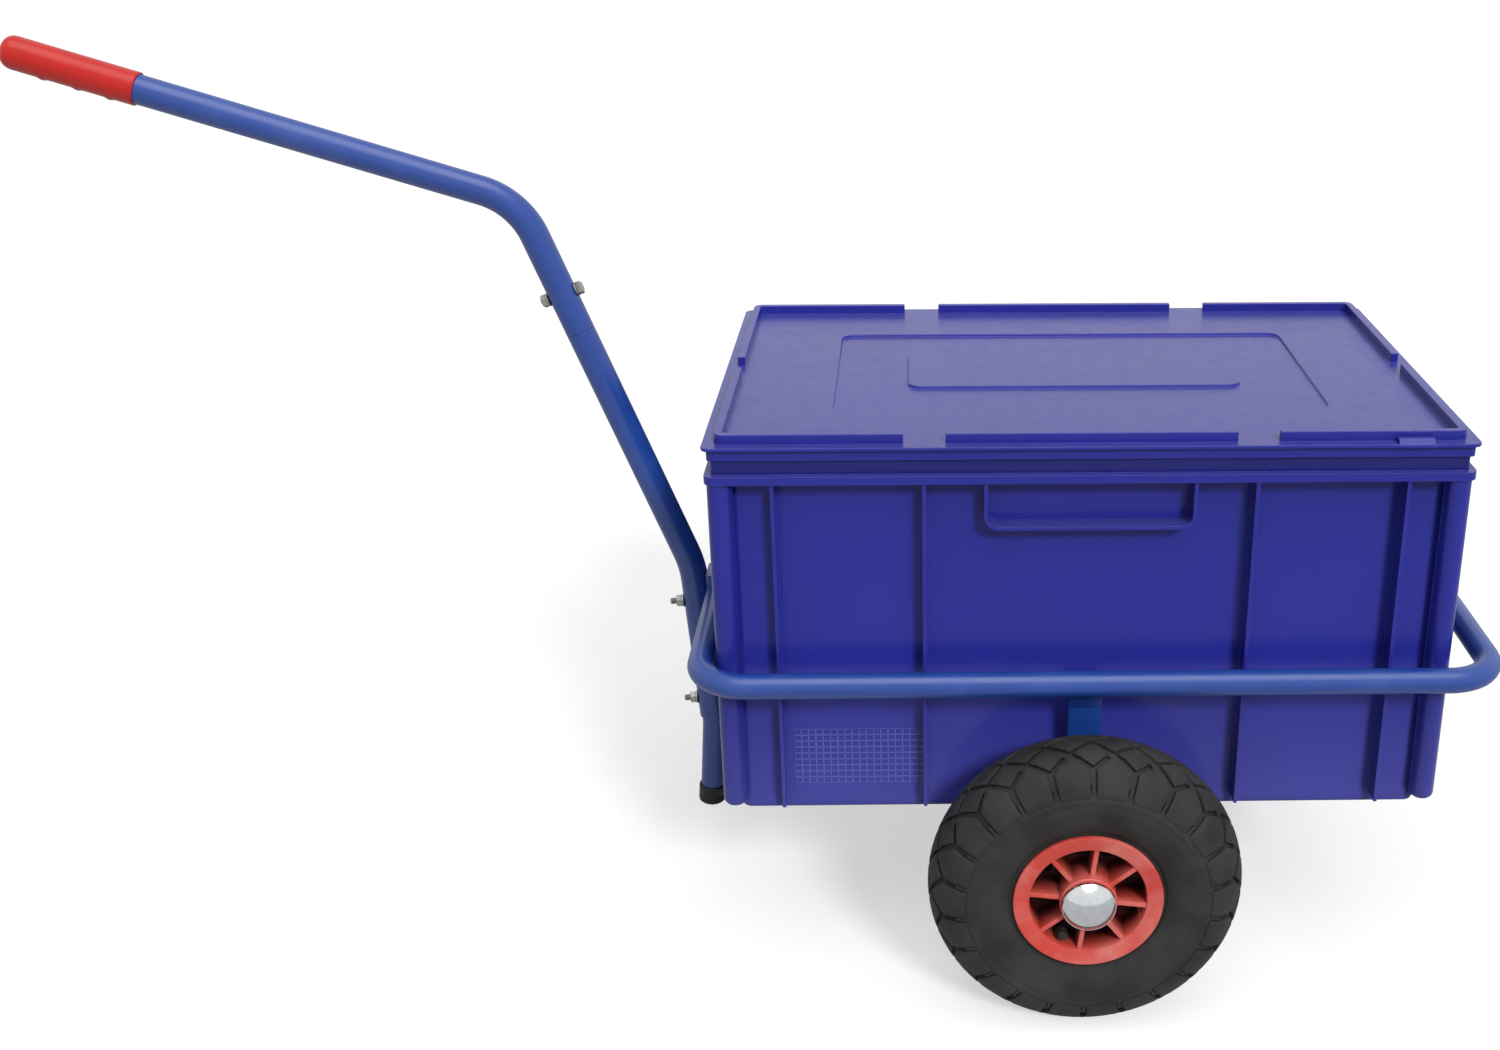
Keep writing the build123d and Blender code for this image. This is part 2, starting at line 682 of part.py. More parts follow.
# Container: recessed walls between round corner posts, with fins, foot and collar
post_length = collar_length - 2 * post_inset
post_span = collar_width - 2 * post_inset
wall_length = post_length - 2 * panel_recess
wall_span = post_span - 2 * panel_recess
web_length = post_length - 2 * post_radius - post_web  # between middles of the webs behind the posts
web_span = post_span - 2 * post_radius - post_web
foot_length = wall_length + 2 * foot_outset
foot_span = wall_span + 2 * foot_outset
band_length = collar_length - 2 * band_inset
band_span = collar_width - 2 * band_inset
wall_bottom = base_height + foot_height + foot_slope
fin_height = collar_bottom - base_height - post_start
frame_top = collar_bottom + fin_thickness
with BuildPart() as container:
    with BuildSketch(Plane.XY.offset(base_height + post_start)):
        with GridLocations(post_length - 2 * post_radius, post_span - 2 * post_radius, 2, 2):
            Circle(post_radius)
    extrude(amount=fin_height)
    fillet(container.edges().group_by(Axis.Z)[0], post_foot)
    with BuildSketch(Plane.XY.offset(base_height)):
        RectangleRounded(foot_length, foot_span, panel_radius + foot_outset)
    extrude(amount=foot_height)
    fillet(container.edges().group_by(Axis.Z)[0], foot_round)
    with BuildSketch(Plane.XY.offset(base_height + foot_height)):
        RectangleRounded(foot_length, foot_span, panel_radius + foot_outset)
    with BuildSketch(Plane.XY.offset(wall_bottom)):
        RectangleRounded(wall_length, wall_span, panel_radius)
    loft()
    with BuildSketch(Plane.XY.offset(wall_bottom)):
        RectangleRounded(wall_length, wall_span, panel_radius)
    extrude(amount=rim_top - wall_bottom)
    with BuildSketch(Plane.XY.offset(base_height + post_start)):
        with Locations(*[(way * place, 0) for place in fin_places for way in (-1, 1)]):
            Rectangle(fin_thickness, post_span)
        with Locations((0, -end_fin_place), (0, end_fin_place)):
            Rectangle(post_length, fin_thickness)
        with GridLocations(web_length, web_span, 2, 2):
            Rectangle(post_web, post_web)
    extrude(amount=fin_height)
    for frame_plane, reach in ((Plane.XZ, post_span / 2), (Plane.YZ, post_length / 2)):
        with BuildSketch(frame_plane) as grip_frame:
            with Locations((0, (grip_frame_bottom + frame_top) / 2)):
                Rectangle(2 * grip_frame_half, frame_top - grip_frame_bottom)
            fillet(grip_frame.vertices().group_by(Axis.Z)[0], grip_frame_round)
            offset(amount=-fin_thickness, mode=Mode.SUBTRACT)
        extrude(amount=reach, both=True)
    with BuildSketch(Plane.XY.offset(collar_bottom)):
        RectangleRounded(collar_length, collar_width, collar_radius)
    extrude(amount=collar_top - collar_bottom)
    with BuildSketch(Plane.XY.offset(collar_top)):
        RectangleRounded(band_length, band_span, collar_radius - band_inset)
    extrude(amount=rim_top - collar_top)
    inner_steps = (
        (base_height + floor_thickness, wall_length, wall_span, panel_radius - container_wall),
        (collar_bottom + container_wall, band_length, band_span, rim_round),
    )
    for step_bottom, step_length, step_span, step_radius in inner_steps:
        with BuildSketch(Plane.XY.offset(step_bottom)):
            RectangleRounded(step_length - 2 * container_wall, step_span - 2 * container_wall, step_radius)
        extrude(amount=rim_top - step_bottom, mode=Mode.SUBTRACT)
container.part.label = "container"
export_step(container.part, "parts/container.step")

# Lid: plate with a skirt, a broken stacking border, a recessed field and a raised middle panel
lid_top = rim_top + lid_plate
field_floor = lid_top - field_depth
skirt_length = lid_length - 2 * skirt_inset
skirt_span = lid_width - 2 * skirt_inset
border_length = lid_length - 2 * border_inset
border_span = lid_width - 2 * border_inset
with BuildPart() as lid:
    with BuildSketch(Plane.XY.offset(rim_top)):
        with Locations((tab_place, -lid_width / 2 - tab_depth + tab_reach / 2)):
            Rectangle(tab_width, tab_reach)
    extrude(amount=lid_plate + tab_height)
    chamfer(lid.edges().filter_by(Axis.X).group_by(Axis.Z)[-1].sort_by(Axis.Y)[0], tab_slope)
    with BuildSketch(Plane.XY.offset(rim_top)):
        RectangleRounded(lid_length, lid_width, lid_radius)
    extrude(amount=lid_plate)
    with BuildSketch(Plane.XY.offset(rim_top - skirt_depth)):
        RectangleRounded(skirt_length, skirt_span, lid_radius - skirt_inset)
        offset(amount=-skirt_wall, mode=Mode.SUBTRACT)
    extrude(amount=skirt_depth)
    with BuildSketch(Plane.XY.offset(lid_top)):
        RectangleRounded(border_length, border_span, lid_radius)
        RectangleRounded(
            border_length - 2 * border_width,
            border_span - 2 * border_width,
            lid_radius / 2,
            mode=Mode.SUBTRACT,
        )
        with Locations((-border_gap_place, 0), (border_gap_place, 0)):
            Rectangle(border_gap, lid_width, mode=Mode.SUBTRACT)
        Rectangle(lid_length, end_gap, mode=Mode.SUBTRACT)
    extrude(amount=border_height)
    with BuildSketch(Plane.XY.offset(field_floor - lid_plate)):
        RectangleRounded(field_length + 2 * lid_plate, field_width + 2 * lid_plate, field_radius)
    extrude(amount=lid_plate)
    with BuildSketch(Plane.XY.offset(field_floor)):
        RectangleRounded(field_length, field_width, field_radius)
        RectangleRounded(panel_length, panel_width, field_radius, mode=Mode.SUBTRACT)
    extrude(amount=field_depth, mode=Mode.SUBTRACT)
    with BuildSketch(Plane.XY.offset(rim_top - locating_lip)):
        RectangleRounded(
            band_length - 2 * (container_wall + locating_gap),
            band_span - 2 * (container_wall + locating_gap),
            panel_radius,
        )
        offset(amount=-container_wall, mode=Mode.SUBTRACT)
    extrude(amount=locating_lip)
lid.part.label = "lid"
export_step(lid.part, "parts/lid.step")
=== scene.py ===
import bmesh
import bpy
from bmesh import ops
from bmesh.types import BMEdge, BMFace, BMVert
from math import asin, ceil, cos, degrees, pi, radians, sin, tan
from mathutils import Matrix, Vector


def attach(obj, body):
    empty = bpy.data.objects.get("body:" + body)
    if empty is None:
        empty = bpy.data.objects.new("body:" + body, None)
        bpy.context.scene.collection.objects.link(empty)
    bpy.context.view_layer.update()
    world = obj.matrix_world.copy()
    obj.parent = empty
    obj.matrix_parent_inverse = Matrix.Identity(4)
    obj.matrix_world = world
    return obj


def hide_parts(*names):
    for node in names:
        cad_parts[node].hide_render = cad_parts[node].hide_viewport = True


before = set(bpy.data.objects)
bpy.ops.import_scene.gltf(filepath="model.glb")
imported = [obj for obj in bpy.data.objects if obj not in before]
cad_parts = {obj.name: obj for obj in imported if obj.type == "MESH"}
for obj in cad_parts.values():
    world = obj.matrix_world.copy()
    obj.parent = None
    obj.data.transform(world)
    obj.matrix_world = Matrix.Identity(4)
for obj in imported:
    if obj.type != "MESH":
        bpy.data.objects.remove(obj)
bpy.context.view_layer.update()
scene = bpy.context.scene
scene.view_settings.view_transform = "Standard"
print("frame loaded:", len(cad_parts), "nodes")

# Sizes are in millimetres, in the frame of the solids; newPiece turns them to metres


def linear(hexColour):
    parts = [int(hexColour[at:at + 2], 16) / 255 for at in (1, 3, 5)]
    return tuple(p / 12.92 if p <= 0.04045 else ((p + 0.055) / 1.055) ** 2.4 for p in parts) + (1.0,)


def perMm(size):
    return 1000 / size  # texture scale that draws a grain of this many millimetres


def add(tree, kind, inputs=None, **settings):
    # an input is a value, a hex colour, a socket, or a node that gives its first output in use;
    # inputs are a list in the node's own order, or go by name or number
    node = tree.nodes.new("ShaderNode" + kind)
    if kind == "Mix":
        node.data_type = "RGBA"  # always of colours: the share is input 0, the colours are 6 and 7
    for name, value in settings.items():
        setattr(node, name, value)
    for name, value in enumerate(inputs) if isinstance(inputs, list) else (inputs or {}).items():
        if isinstance(value, bpy.types.Node):
            value = next(output for output in value.outputs if output.enabled)
        if isinstance(value, bpy.types.NodeSocket):
            tree.links.new(value, node.inputs[name])
        else:
            node.inputs[name].default_value = linear(value) if isinstance(value, str) else value
    return node


def startMaterial(name, look=None, *noises):
    # an empty material and the noises that its look names, each a grain in millimetres and a detail;
    # grains below 1 mm are drawn at about 1 mm, where a picture can still show them;
    # four numbers in a look are a range and the range that it turns into
    material = bpy.data.materials.new(name)
    material.use_nodes = True
    tree = material.node_tree
    tree.nodes.clear()
    place = add(tree, "TexCoord").outputs["Object"]
    drawn = [add(tree, "TexNoise", {"Vector": place, "Scale": perMm(size), "Detail": detail})
             for size, detail in (look[noise] for noise in noises)]
    return material, tree, place, *drawn


def finishMaterial(tree, look, colour, roughness, height, extra=None):
    # the relief of this height, the shader and the output that end each material
    strength, depth = look["relief"]  # a share, and metres
    skin = add(tree, "Bump", {"Height": height, "Strength": strength, "Distance": depth})
    shader = add(tree, "BsdfPrincipled",
                 {"Base Color": colour, "Roughness": roughness, "Normal": skin, **(extra or {})})
    add(tree, "OutputMaterial", {"Surface": shader})


# Moulded polypropylene: satin skin, fine spark-eroded grain, edges that rub a little paler and carry a painted
# highlight, a band of painted shade under the lid
look = dict(dark="#22267f", light="#282c90", rubbedAndHighlit="#6e6fc6", dust="#8d8aa6", flow=(120, 3.0),
            grain=(1.1, 2.0), scuff=(14, 8.0), rub=0.0009, shaded="#0c0e3a", underLid=(0.4752, 0.0056),
            paintedShade=0.5, topsKept=-5.0, edgeWearAndHighlight=(0.4, 0.8, 0.55, 0.0), upward=(0.5, 0.9, 0.0, 0.1),
            gloss=(0.35, 0.75, 0.16, 0.23), dusty=(0.17, 0.3, 0.1, 0.0), relief=(0.06, 0.0002))
polypropylene, tree, place, flow, grain, scuff = startMaterial("moulded polypropylene violet blue", look,
                                                               "flow", "grain", "scuff")
mottle = add(tree, "Mix", {0: flow, 6: look["dark"], 7: look["light"]})
corner = add(tree, "AmbientOcclusion", {"Distance": look["rub"]}, inside=True, only_local=True, samples=6)
edgeWearAndHighlight = add(tree, "MapRange", [corner.outputs["AO"], *look["edgeWearAndHighlight"]])
upward = add(tree, "SeparateXYZ", [add(tree, "NewGeometry").outputs["Normal"]]).outputs["Z"]
upward = add(tree, "MapRange", [upward, *look["upward"]])
# the edges rub pale and carry a painted highlight, the flat tops don't
edgeWearAndHighlight = add(tree, "Math", [upward, look["topsKept"], edgeWearAndHighlight], operation="MULTIPLY_ADD", use_clamp=True)
colour = add(tree, "Mix", {0: edgeWearAndHighlight, 6: mottle, 7: look["rubbedAndHighlit"]})
gloss = add(tree, "MapRange", [scuff, *look["gloss"]])
gloss = add(tree, "Math", [gloss, upward])  # flat tops are scratched by stacking
height = add(tree, "SeparateXYZ", [place]).outputs["Z"]
dusty = add(tree, "MapRange", [height, *look["dusty"]])
dusty = add(tree, "Math", [dusty, upward], operation="MAXIMUM")
colour = add(tree, "Mix", {0: dusty, 6: colour, 7: look["dust"]})  # paler towards the foot and on up-facing faces
middle, reach = look["underLid"]  # painted shade: the groove under the lid's skirt is darkened as though the lid shades it
groove = add(tree, "Math", [height, middle, reach], operation="COMPARE")
shadeBandMask = add(tree, "Math", [groove, look["paintedShade"]], operation="MULTIPLY")
colour = add(tree, "Mix", {0: shadeBandMask, 6: colour, 7: look["shaded"]})
finishMaterial(tree, look, colour, gloss, grain, {"IOR": 1.34})

# Powder coat on steel: glossy blue skin with a low orange peel and a little road dust
look = dict(dark="#163782", light="#1b418d", dust="#5c6a92", peel=(2.4, 1.0), patch=(45, 6.0),
            dusty=(0.55, 0.85, 0.0, 0.2), gloss=(0.3, 0.7, 0.3, 0.4), relief=(0.12, 0.0003))
powderCoat, tree, place, peel, patch = startMaterial("blue powder coat on steel", look, "peel", "patch")
mottle = add(tree, "Mix", {0: patch, 6: look["dark"], 7: look["light"]})
dusty = add(tree, "MapRange", [patch, *look["dusty"]])
colour = add(tree, "Mix", {0: dusty, 6: mottle, 7: look["dust"]})
gloss = add(tree, "MapRange", [patch, *look["gloss"]])
finishMaterial(tree, look, colour, gloss, peel, {"IOR": 1.62})

# Dip-moulded soft PVC: bright red, shiny, faintly uneven from the mould
look = dict(dark="#a81711", light="#b92019", wave=(16, 4.0), grain=(1.2, 2.0), gloss=(0.0, 1.0, 0.26, 0.42),
            relief=(0.1, 0.0002))
softPvc, tree, place, wave, grain = startMaterial("moulded soft PVC red", look, "wave", "grain")
colour = add(tree, "Mix", {0: wave, 6: look["dark"], 7: look["light"]})
gloss = add(tree, "MapRange", [wave, *look["gloss"]])
finishMaterial(tree, look, colour, gloss, grain, {"IOR": 1.42})

# Moulded polypropylene of the rims: duller red, dust from the road on its open faces, painted shade deep in its
# pockets
look = dict(dark="#b5382f", light="#c6483e", dust="#d8a59d", pocketShade="#1e0706", flow=(30, 5.0), grain=(1.0, 2.0),
            middle=0.25, dusty=(0.4, 0.8, 0.0, 0.35), pocketShading=(0.01, 0.031, 0.96, 0.0),
            gloss=0.42, relief=(0.15, 0.0002))
rimPlastic, tree, place, flow, grain = startMaterial("moulded polypropylene red", look, "flow", "grain")
mottle = add(tree, "Mix", {0: flow, 6: look["dark"], 7: look["light"]})
dusty = add(tree, "MapRange", [flow, *look["dusty"]])
colour = add(tree, "Mix", {0: dusty, 6: mottle, 7: look["dust"]})
across = add(tree, "SeparateXYZ", [place]).outputs["Y"]
across = add(tree, "Math", [across], operation="ABSOLUTE")
depth = add(tree, "Math", [across, look["middle"]], operation="SUBTRACT")
depth = add(tree, "Math", [depth], operation="ABSOLUTE")
# painted shade deep in the pockets, darkest near the wheel's middle plane
pocketShading = add(tree, "MapRange", [depth, *look["pocketShading"]])
colour = add(tree, "Mix", {0: pocketShading, 6: colour, 7: look["pocketShade"]})
finishMaterial(tree, look, colour, look["gloss"], grain, {"IOR": 1.49})

# Vulcanised tyre rubber: matt black with a greyish bloom and a fine mould grain
look = dict(dark="#1f1f1e", bloom="#363535", cloud=(35, 7.0), grain=(1.4, 4.0), spread=(0.3, 0.75, 0.0, 1.0),
            gloss=(0.0, 1.0, 0.5, 0.75), relief=(0.25, 0.0003))
tyreRubber, tree, place, cloud, grain = startMaterial("vulcanised tyre rubber", look, "cloud", "grain")
spread = add(tree, "MapRange", [cloud, *look["spread"]])
colour = add(tree, "Mix", {0: spread, 6: look["dark"], 7: look["bloom"]})
gloss = add(tree, "MapRange", [cloud, *look["gloss"]])
finishMaterial(tree, look, colour, gloss, grain, {"Specular IOR Level": 0.25})

# Butyl rubber of the air tubes and valve stems: smooth, dark grey, dusted with talc
look = dict(dark="#141414", talc="#2e2d2b", cloud=(9, 5.0), spread=(0.4, 0.7, 0.0, 1.0),
            gloss=0.6, relief=(0.1, 0.0003))
butylRubber, tree, place, cloud = startMaterial("moulded butyl rubber", look, "cloud")
spread = add(tree, "MapRange", [cloud, *look["spread"]])
colour = add(tree, "Mix", {0: spread, 6: look["dark"], 7: look["talc"]})
finishMaterial(tree, look, colour, look["gloss"], cloud)

# Chromed steel sheet: mirror skin, faint haze from wiping and tiny pits
look = dict(bright="#e4e6e8", dull="#c8ccce", haze=(7, 6.0), pit=1.6, gloss=(0.35, 0.7, 0.1, 0.24),
            relief=(0.03, 0.0002))
chrome, tree, place, haze = startMaterial("chromed steel sheet", look, "haze")
pit = add(tree, "TexVoronoi", {"Vector": place, "Scale": perMm(look["pit"])})
colour = add(tree, "Mix", {0: haze, 6: look["bright"], 7: look["dull"]})
gloss = add(tree, "MapRange", [haze, *look["gloss"]])
finishMaterial(tree, look, colour, gloss, pit.outputs["Distance"], {"Metallic": 1.0})

# Zinc plated steel: dull silver with a passivated tint in small crystals
look = dict(blue="#a4a9ad", yellow="#a6a394", crystal=2.2, smear=(6, 5.0), gloss=(0.0, 1.0, 0.3, 0.48),
            relief=(0.08, 0.0002))
zincSteel, tree, place, smear = startMaterial("zinc plated steel", look, "smear")
crystal = add(tree, "TexVoronoi", {"Vector": place, "Scale": perMm(look["crystal"])})
colour = add(tree, "Mix", {0: smear, 6: look["blue"], 7: look["yellow"]})
gloss = add(tree, "MapRange", [crystal.outputs["Color"], *look["gloss"]])
finishMaterial(tree, look, colour, gloss, smear, {"Metallic": 1.0})

# The same steel darkened as painted shade, for the fasteners deep in the wheels
shadedZinc = zincSteel.copy()
shadedZinc.name = "zinc plated steel darkened as painted shade"
paintedShade = shadedZinc.node_tree.nodes[colour.name]
for at, shade in ((6, "#332f2c"), (7, "#211f1d")):
    paintedShade.inputs[at].default_value = linear(shade)

# Moulded polyethylene of the leg's cap and the roller cages: black, waxy, scratched by the floor
look = dict(dark="#07080a", scratched="#1c1d20", scratch=(3.5, 8.0), spread=(0.5, 0.8, 0.0, 0.5),
            gloss=0.45, relief=(0.1, 0.0003))
polyethylene, tree, place, scratch = startMaterial("moulded polyethylene black", look, "scratch")
spread = add(tree, "MapRange", [scratch, *look["spread"]])
colour = add(tree, "Mix", {0: spread, 6: look["dark"], 7: look["scratched"]})
finishMaterial(tree, look, colour, look["gloss"], scratch, {"IOR": 1.4})
print("materials ready")


def newPiece(bm, name, body, slot, material, *nodes, sharp=38, edge=0.0, edgeAngle=40):
    # metres, clean normals, smooth shading and a rounded edge of so many millimetres
    ops.scale(bm, vec=(0.001, 0.001, 0.001), verts=bm.verts)
    ops.remove_doubles(bm, verts=bm.verts, dist=0.000004)
    ops.recalc_face_normals(bm, faces=bm.faces)
    mesh = bpy.data.meshes.new(name)
    bm.to_mesh(mesh)
    bm.free()
    mesh.materials.append(material)
    mesh.shade_smooth()
    mesh.set_sharp_from_angle(angle=radians(sharp))
    piece = bpy.data.objects.new(name, mesh)
    scene.collection.objects.link(piece)
    if edge:
        rounding = piece.modifiers.new("rounding", "BEVEL")
        rounding.width = edge * 0.001
        rounding.segments = 2
        rounding.limit_method = "ANGLE"
        rounding.angle_limit = radians(edgeAngle)
        rounding.harden_normals = True
    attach(piece, body)
    if nodes:
        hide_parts(*nodes)
    print("made", name, len(mesh.polygons), "faces")
    return piece


def facing(origin, zWay, xWay):
    # matrix that stands a shape at origin with its own z and x along these directions
    zAxis = Vector(zWay).normalized()
    yAxis = zAxis.cross(Vector(xWay)).normalized()
    turn = Matrix((yAxis.cross(zAxis), yAxis, zAxis)).transposed()
    return Matrix.Translation(Vector(origin)) @ turn.to_4x4()


def only(kind, geometry):
    return [part for part in geometry if isinstance(part, kind)]


def withParts(faces):
    return list({part for face in faces for part in [face, *face.edges, *face.verts]})


def vertsOf(edges):
    return list({vert for edge in edges for vert in edge.verts})


def loopEdges(verts):
    inside = set(verts)
    return [edge for edge in {e for v in verts for e in v.link_edges} if inside.issuperset(edge.verts)]


def fill(bm, ring):
    ops.edgeloop_fill(bm, edges=ring)


def roundOff(bm, geometry, radius, steps, affect="EDGES"):
    return ops.bevel(bm, geom=geometry, offset=radius, offset_type="OFFSET", segments=steps, profile=0.5,
                     affect=affect, material=-1)["verts"]


def move(bm, matrix, before=()):
    # moves all the verts, or those made since
    ops.transform(bm, matrix=matrix, verts=[vert for vert in bm.verts if vert not in before])


def circleLoop(bm, radius, sides, matrix=Matrix()):
    made = ops.create_circle(bm, cap_ends=False, segments=sides, radius=radius, matrix=matrix)
    return loopEdges(made["verts"])


def roundedLoop(bm, length, width, radius, height=0.0, steps=6, matrix=Matrix()):
    made = ops.create_grid(bm, x_segments=1, y_segments=1, size=0.5)["verts"]
    ops.scale(bm, vec=(length, width, 1), verts=made)
    ops.translate(bm, vec=(0, 0, height), verts=made)
    made = roundOff(bm, made, radius, steps, "VERTICES")
    face = made[0].link_faces[0]
    edges = list(face.edges)
    ops.delete(bm, geom=[face], context="FACES_ONLY")
    ops.transform(bm, matrix=matrix, verts=vertsOf(edges))
    return edges


def stackLoops(bm, rows, steps=6, closed=True):
    # rounded rectangles given as length, width, corner radius and height, joined in their order
    loops = [roundedLoop(bm, *row, steps=steps) for row in rows]
    apart = Vector((0, 0, 0.05))  # loops in one plane could be joined crosswise, so they part for a moment
    for first, second in zip(loops, loops[1:]):
        ops.translate(bm, vec=apart, verts=vertsOf(second))
        ops.bridge_loops(bm, edges=first + second)
        ops.translate(bm, vec=-apart, verts=vertsOf(second))
    if closed:
        fill(bm, loops[0])
        fill(bm, loops[-1])
    return loops


def flatRing(bm, outer, inner, steps=6):
    # flat face between two rounded rectangles
    edges = [edge for row in (outer, inner) for edge in roundedLoop(bm, *row, steps=steps)]
    return ops.bridge_loops(bm, edges=edges)["faces"]


def cutAcross(bm, faces, planes):
    # cuts flat faces along x or y and gives back all of the pieces
    geometry = withParts(faces)
    for point, normal in planes:
        made = ops.bisect_plane(bm, geom=geometry, dist=0.001, plane_co=point, plane_no=normal)
        geometry = list(set(made["geom"]) | set(made["geom_cut"]))
    return only(BMFace, geometry)


def raiseFaces(bm, faces, way):
    made = ops.extrude_face_region(bm, geom=faces)["geom"]
    ops.translate(bm, vec=way, verts=only(BMVert, made))


def drawRing(bm, ring, way, shrink=1.0):
    # one more ring of faces along a direction, wider or narrower at its end
    edges = only(BMEdge, ops.extrude_edge_only(bm, edges=ring)["geom"])
    verts = vertsOf(edges)
    ops.translate(bm, vec=way, verts=verts)
    middle = sum((vert.co for vert in verts), Vector()) / len(verts)
    ops.scale(bm, vec=(shrink, shrink, shrink), space=Matrix.Translation(-middle), verts=verts)
    return edges


def runAlong(bm, ring, points, bend, stepAngle=5):
    # carries a section along straight runs and round the bends between them
    points = [Vector(point) for point in points]
    for at in range(1, len(points)):
        verts = vertsOf(ring)
        middle = sum((vert.co for vert in verts), Vector()) / len(verts)
        way = (points[at] - points[at - 1]).normalized()
        if at == len(points) - 1:
            return drawRing(bm, ring, points[at] - middle)
        onward = (points[at + 1] - points[at]).normalized()
        turn = way.angle(onward)
        entry = points[at] - way * bend * tan(turn / 2)
        hinge = way.cross(onward).normalized()
        ring = drawRing(bm, ring, entry - middle)
        spun = ops.spin(bm, geom=ring + vertsOf(ring), cent=entry + hinge.cross(way) * bend, axis=hinge,
                        angle=turn, steps=ceil(degrees(turn) / stepAngle), use_duplicate=False)
        ring = only(BMEdge, spun["geom_last"])


tubeEdge = 0.3  # broken edge of a cut tube


def closeTube(bm, ring, way, radius, wall, depth=8.0):
    # a tube's end: a broken edge, its wall, a short bore and a floor
    ring = drawRing(bm, ring, Vector(way) * tubeEdge, (radius - tubeEdge) / radius)
    ring = drawRing(bm, ring, (0, 0, 0), (radius - wall) / (radius - tubeEdge))
    ring = drawRing(bm, ring, -Vector(way) * depth)
    fill(bm, ring)


def lathe(bm, points, steps, closed=True):
    # turns an outline of radius and height points about z
    verts = [bm.verts.new((radius, 0, height)) for radius, height in points]
    ends = zip(verts, verts[1:] + verts[:1]) if closed else zip(verts, verts[1:])
    edges = [bm.edges.new(pair) for pair in ends]
    ops.spin(bm, geom=verts + edges, cent=(0, 0, 0), axis=(0, 0, 1), angle=2 * pi, steps=steps,
             use_merge=True, use_duplicate=False)


def copiesAround(bm, geometry, count):
    ops.spin(bm, geom=geometry, cent=(0, 0, 0), axis=(0, 0, 1), angle=2 * pi * (count - 1) / count,
             steps=count - 1, use_duplicate=True)


def bar(bm, size, centre, matrix=Matrix()):
    ops.create_cube(bm, size=1, matrix=matrix @ Matrix.Translation(centre) @ Matrix.Diagonal((*size, 1)))


weld = dict(start=1.14, ripple=2.6, swell=1.45, dip=0.86, endRise=0.3, endShare=0.5, sides=10)


def weldBead(bm, start, end):
    # rippled bead of a hand weld, half sunk in the metal
    start, end = Vector(start), Vector(end)
    way = (end - start).normalized()
    count = ceil((end - start).length / weld["ripple"] * 2)
    ring = circleLoop(bm, weld["start"], weld["sides"], facing(start, way, (0.3, 0.5, 0.8)))
    fill(bm, ring)
    for at in range(count):
        ripple = weld["dip"] if at % 2 else 1 / weld["dip"]
        ring = drawRing(bm, ring, (end - start) / count, ripple if at else weld["swell"])
    fill(bm, drawRing(bm, ring, way * weld["endRise"], weld["endShare"]))


# The body, the slot and the material that most pieces of the frame share
painted, plated = ("frame", "frame_paint", powderCoat), ("frame", "zinc_steel", zincSteel)

# Hoop round the container
hoop = dict(radius=10.5, height=296.4, front=-316.5, rear=336.5, halfWidth=221.5, bend=43.0, sides=40)
bm = bmesh.new()
corners = [(0, -1), (hoop["rear"], -1), (hoop["rear"], 1), (hoop["front"], 1), (hoop["front"], -1), (0, -1)]
route = [(x, side * hoop["halfWidth"], hoop["height"]) for x, side in corners]
ring = circleLoop(bm, hoop["radius"], hoop["sides"], facing(route[0], (1, 0, 0), (0, 1, 0)))
runAlong(bm, ring, route, hoop["bend"])
newPiece(bm, "hoopTube", *painted, "hoop_tube")


def flatBar(bm, width, route, zWay, xWay, bend=1.0):
    # flat bar with broken edges along a route
    ring = roundedLoop(bm, width, flatBars["thickness"], flatBars["edge"], steps=2,
                       matrix=facing(route[0], zWay, xWay))
    fill(bm, ring)
    fill(bm, runAlong(bm, ring, route, bend, 8))


def openTube(bm, size, route, startWay, endWay, bend, stepAngle, startBore=8.0):
    # round tube along a route, open at both ends
    ring = circleLoop(bm, size["radius"], size["sides"], facing(route[0], startWay, (0, 1, 0)))
    last = runAlong(bm, ring, route, bend, stepAngle)
    closeTube(bm, ring, -startWay, size["radius"], size["wall"], startBore)
    closeTube(bm, last, endWay, size["radius"], size["wall"])


# Flat bars that carry the container, with their welds
flatBars = dict(width=27.0, frontWidth=30.0, thickness=5.0, bend=7.5, under=160.5, sideAt=205.0, turnAt=268.0,
                sunk=9.9, edge=0.8, beadBack=0.7, beadOff=3.2, beadHalf=12.5, rearBeadHalf=14.0,
                rearBeadDown=10.3)
bm = bmesh.new()
side, low = flatBars["sideAt"], flatBars["under"]
lean = Vector((0, hoop["halfWidth"] - side, hoop["height"] - flatBars["turnAt"])).normalized()
meet = Vector((0, hoop["halfWidth"], hoop["height"])) - lean * flatBars["sunk"]
route = [(0, -meet.y, meet.z), (0, -side, flatBars["turnAt"]), (0, -side, low), (0, side, low),
         (0, side, flatBars["turnAt"]), (0, meet.y, meet.z)]
flatBar(bm, flatBars["width"], route, (0, lean.y, -lean.z), (1, 0, 0), flatBars["bend"])
for way in (-1, 1):  # a bead on each face of the bar, below the tube
    for face in (-1, 1):
        off = Vector((0, lean.z, -lean.y)) * face * flatBars["beadOff"]
        x, y, z = meet - lean * flatBars["beadBack"] + off
        weldBead(bm, (-flatBars["beadHalf"], way * y, z), (flatBars["beadHalf"], way * y, z))
newPiece(bm, "crossCradle", *painted, "cross_cradle")

bm = bmesh.new()
route = [(flatBars["width"] / 2, 0, low), (hoop["rear"], 0, low),
         (hoop["rear"], 0, hoop["height"] - flatBars["sunk"])]
flatBar(bm, flatBars["frontWidth"], route, (1, 0, 0), (0, 1, 0), flatBars["bend"])
for way in (-1, 1):
    x, z = hoop["rear"] + way * flatBars["beadOff"], hoop["height"] - flatBars["rearBeadDown"]
    weldBead(bm, (x, -flatBars["rearBeadHalf"], z), (x, flatBars["rearBeadHalf"], z))
newPiece(bm, "rearCradle", *painted, "rear_cradle")

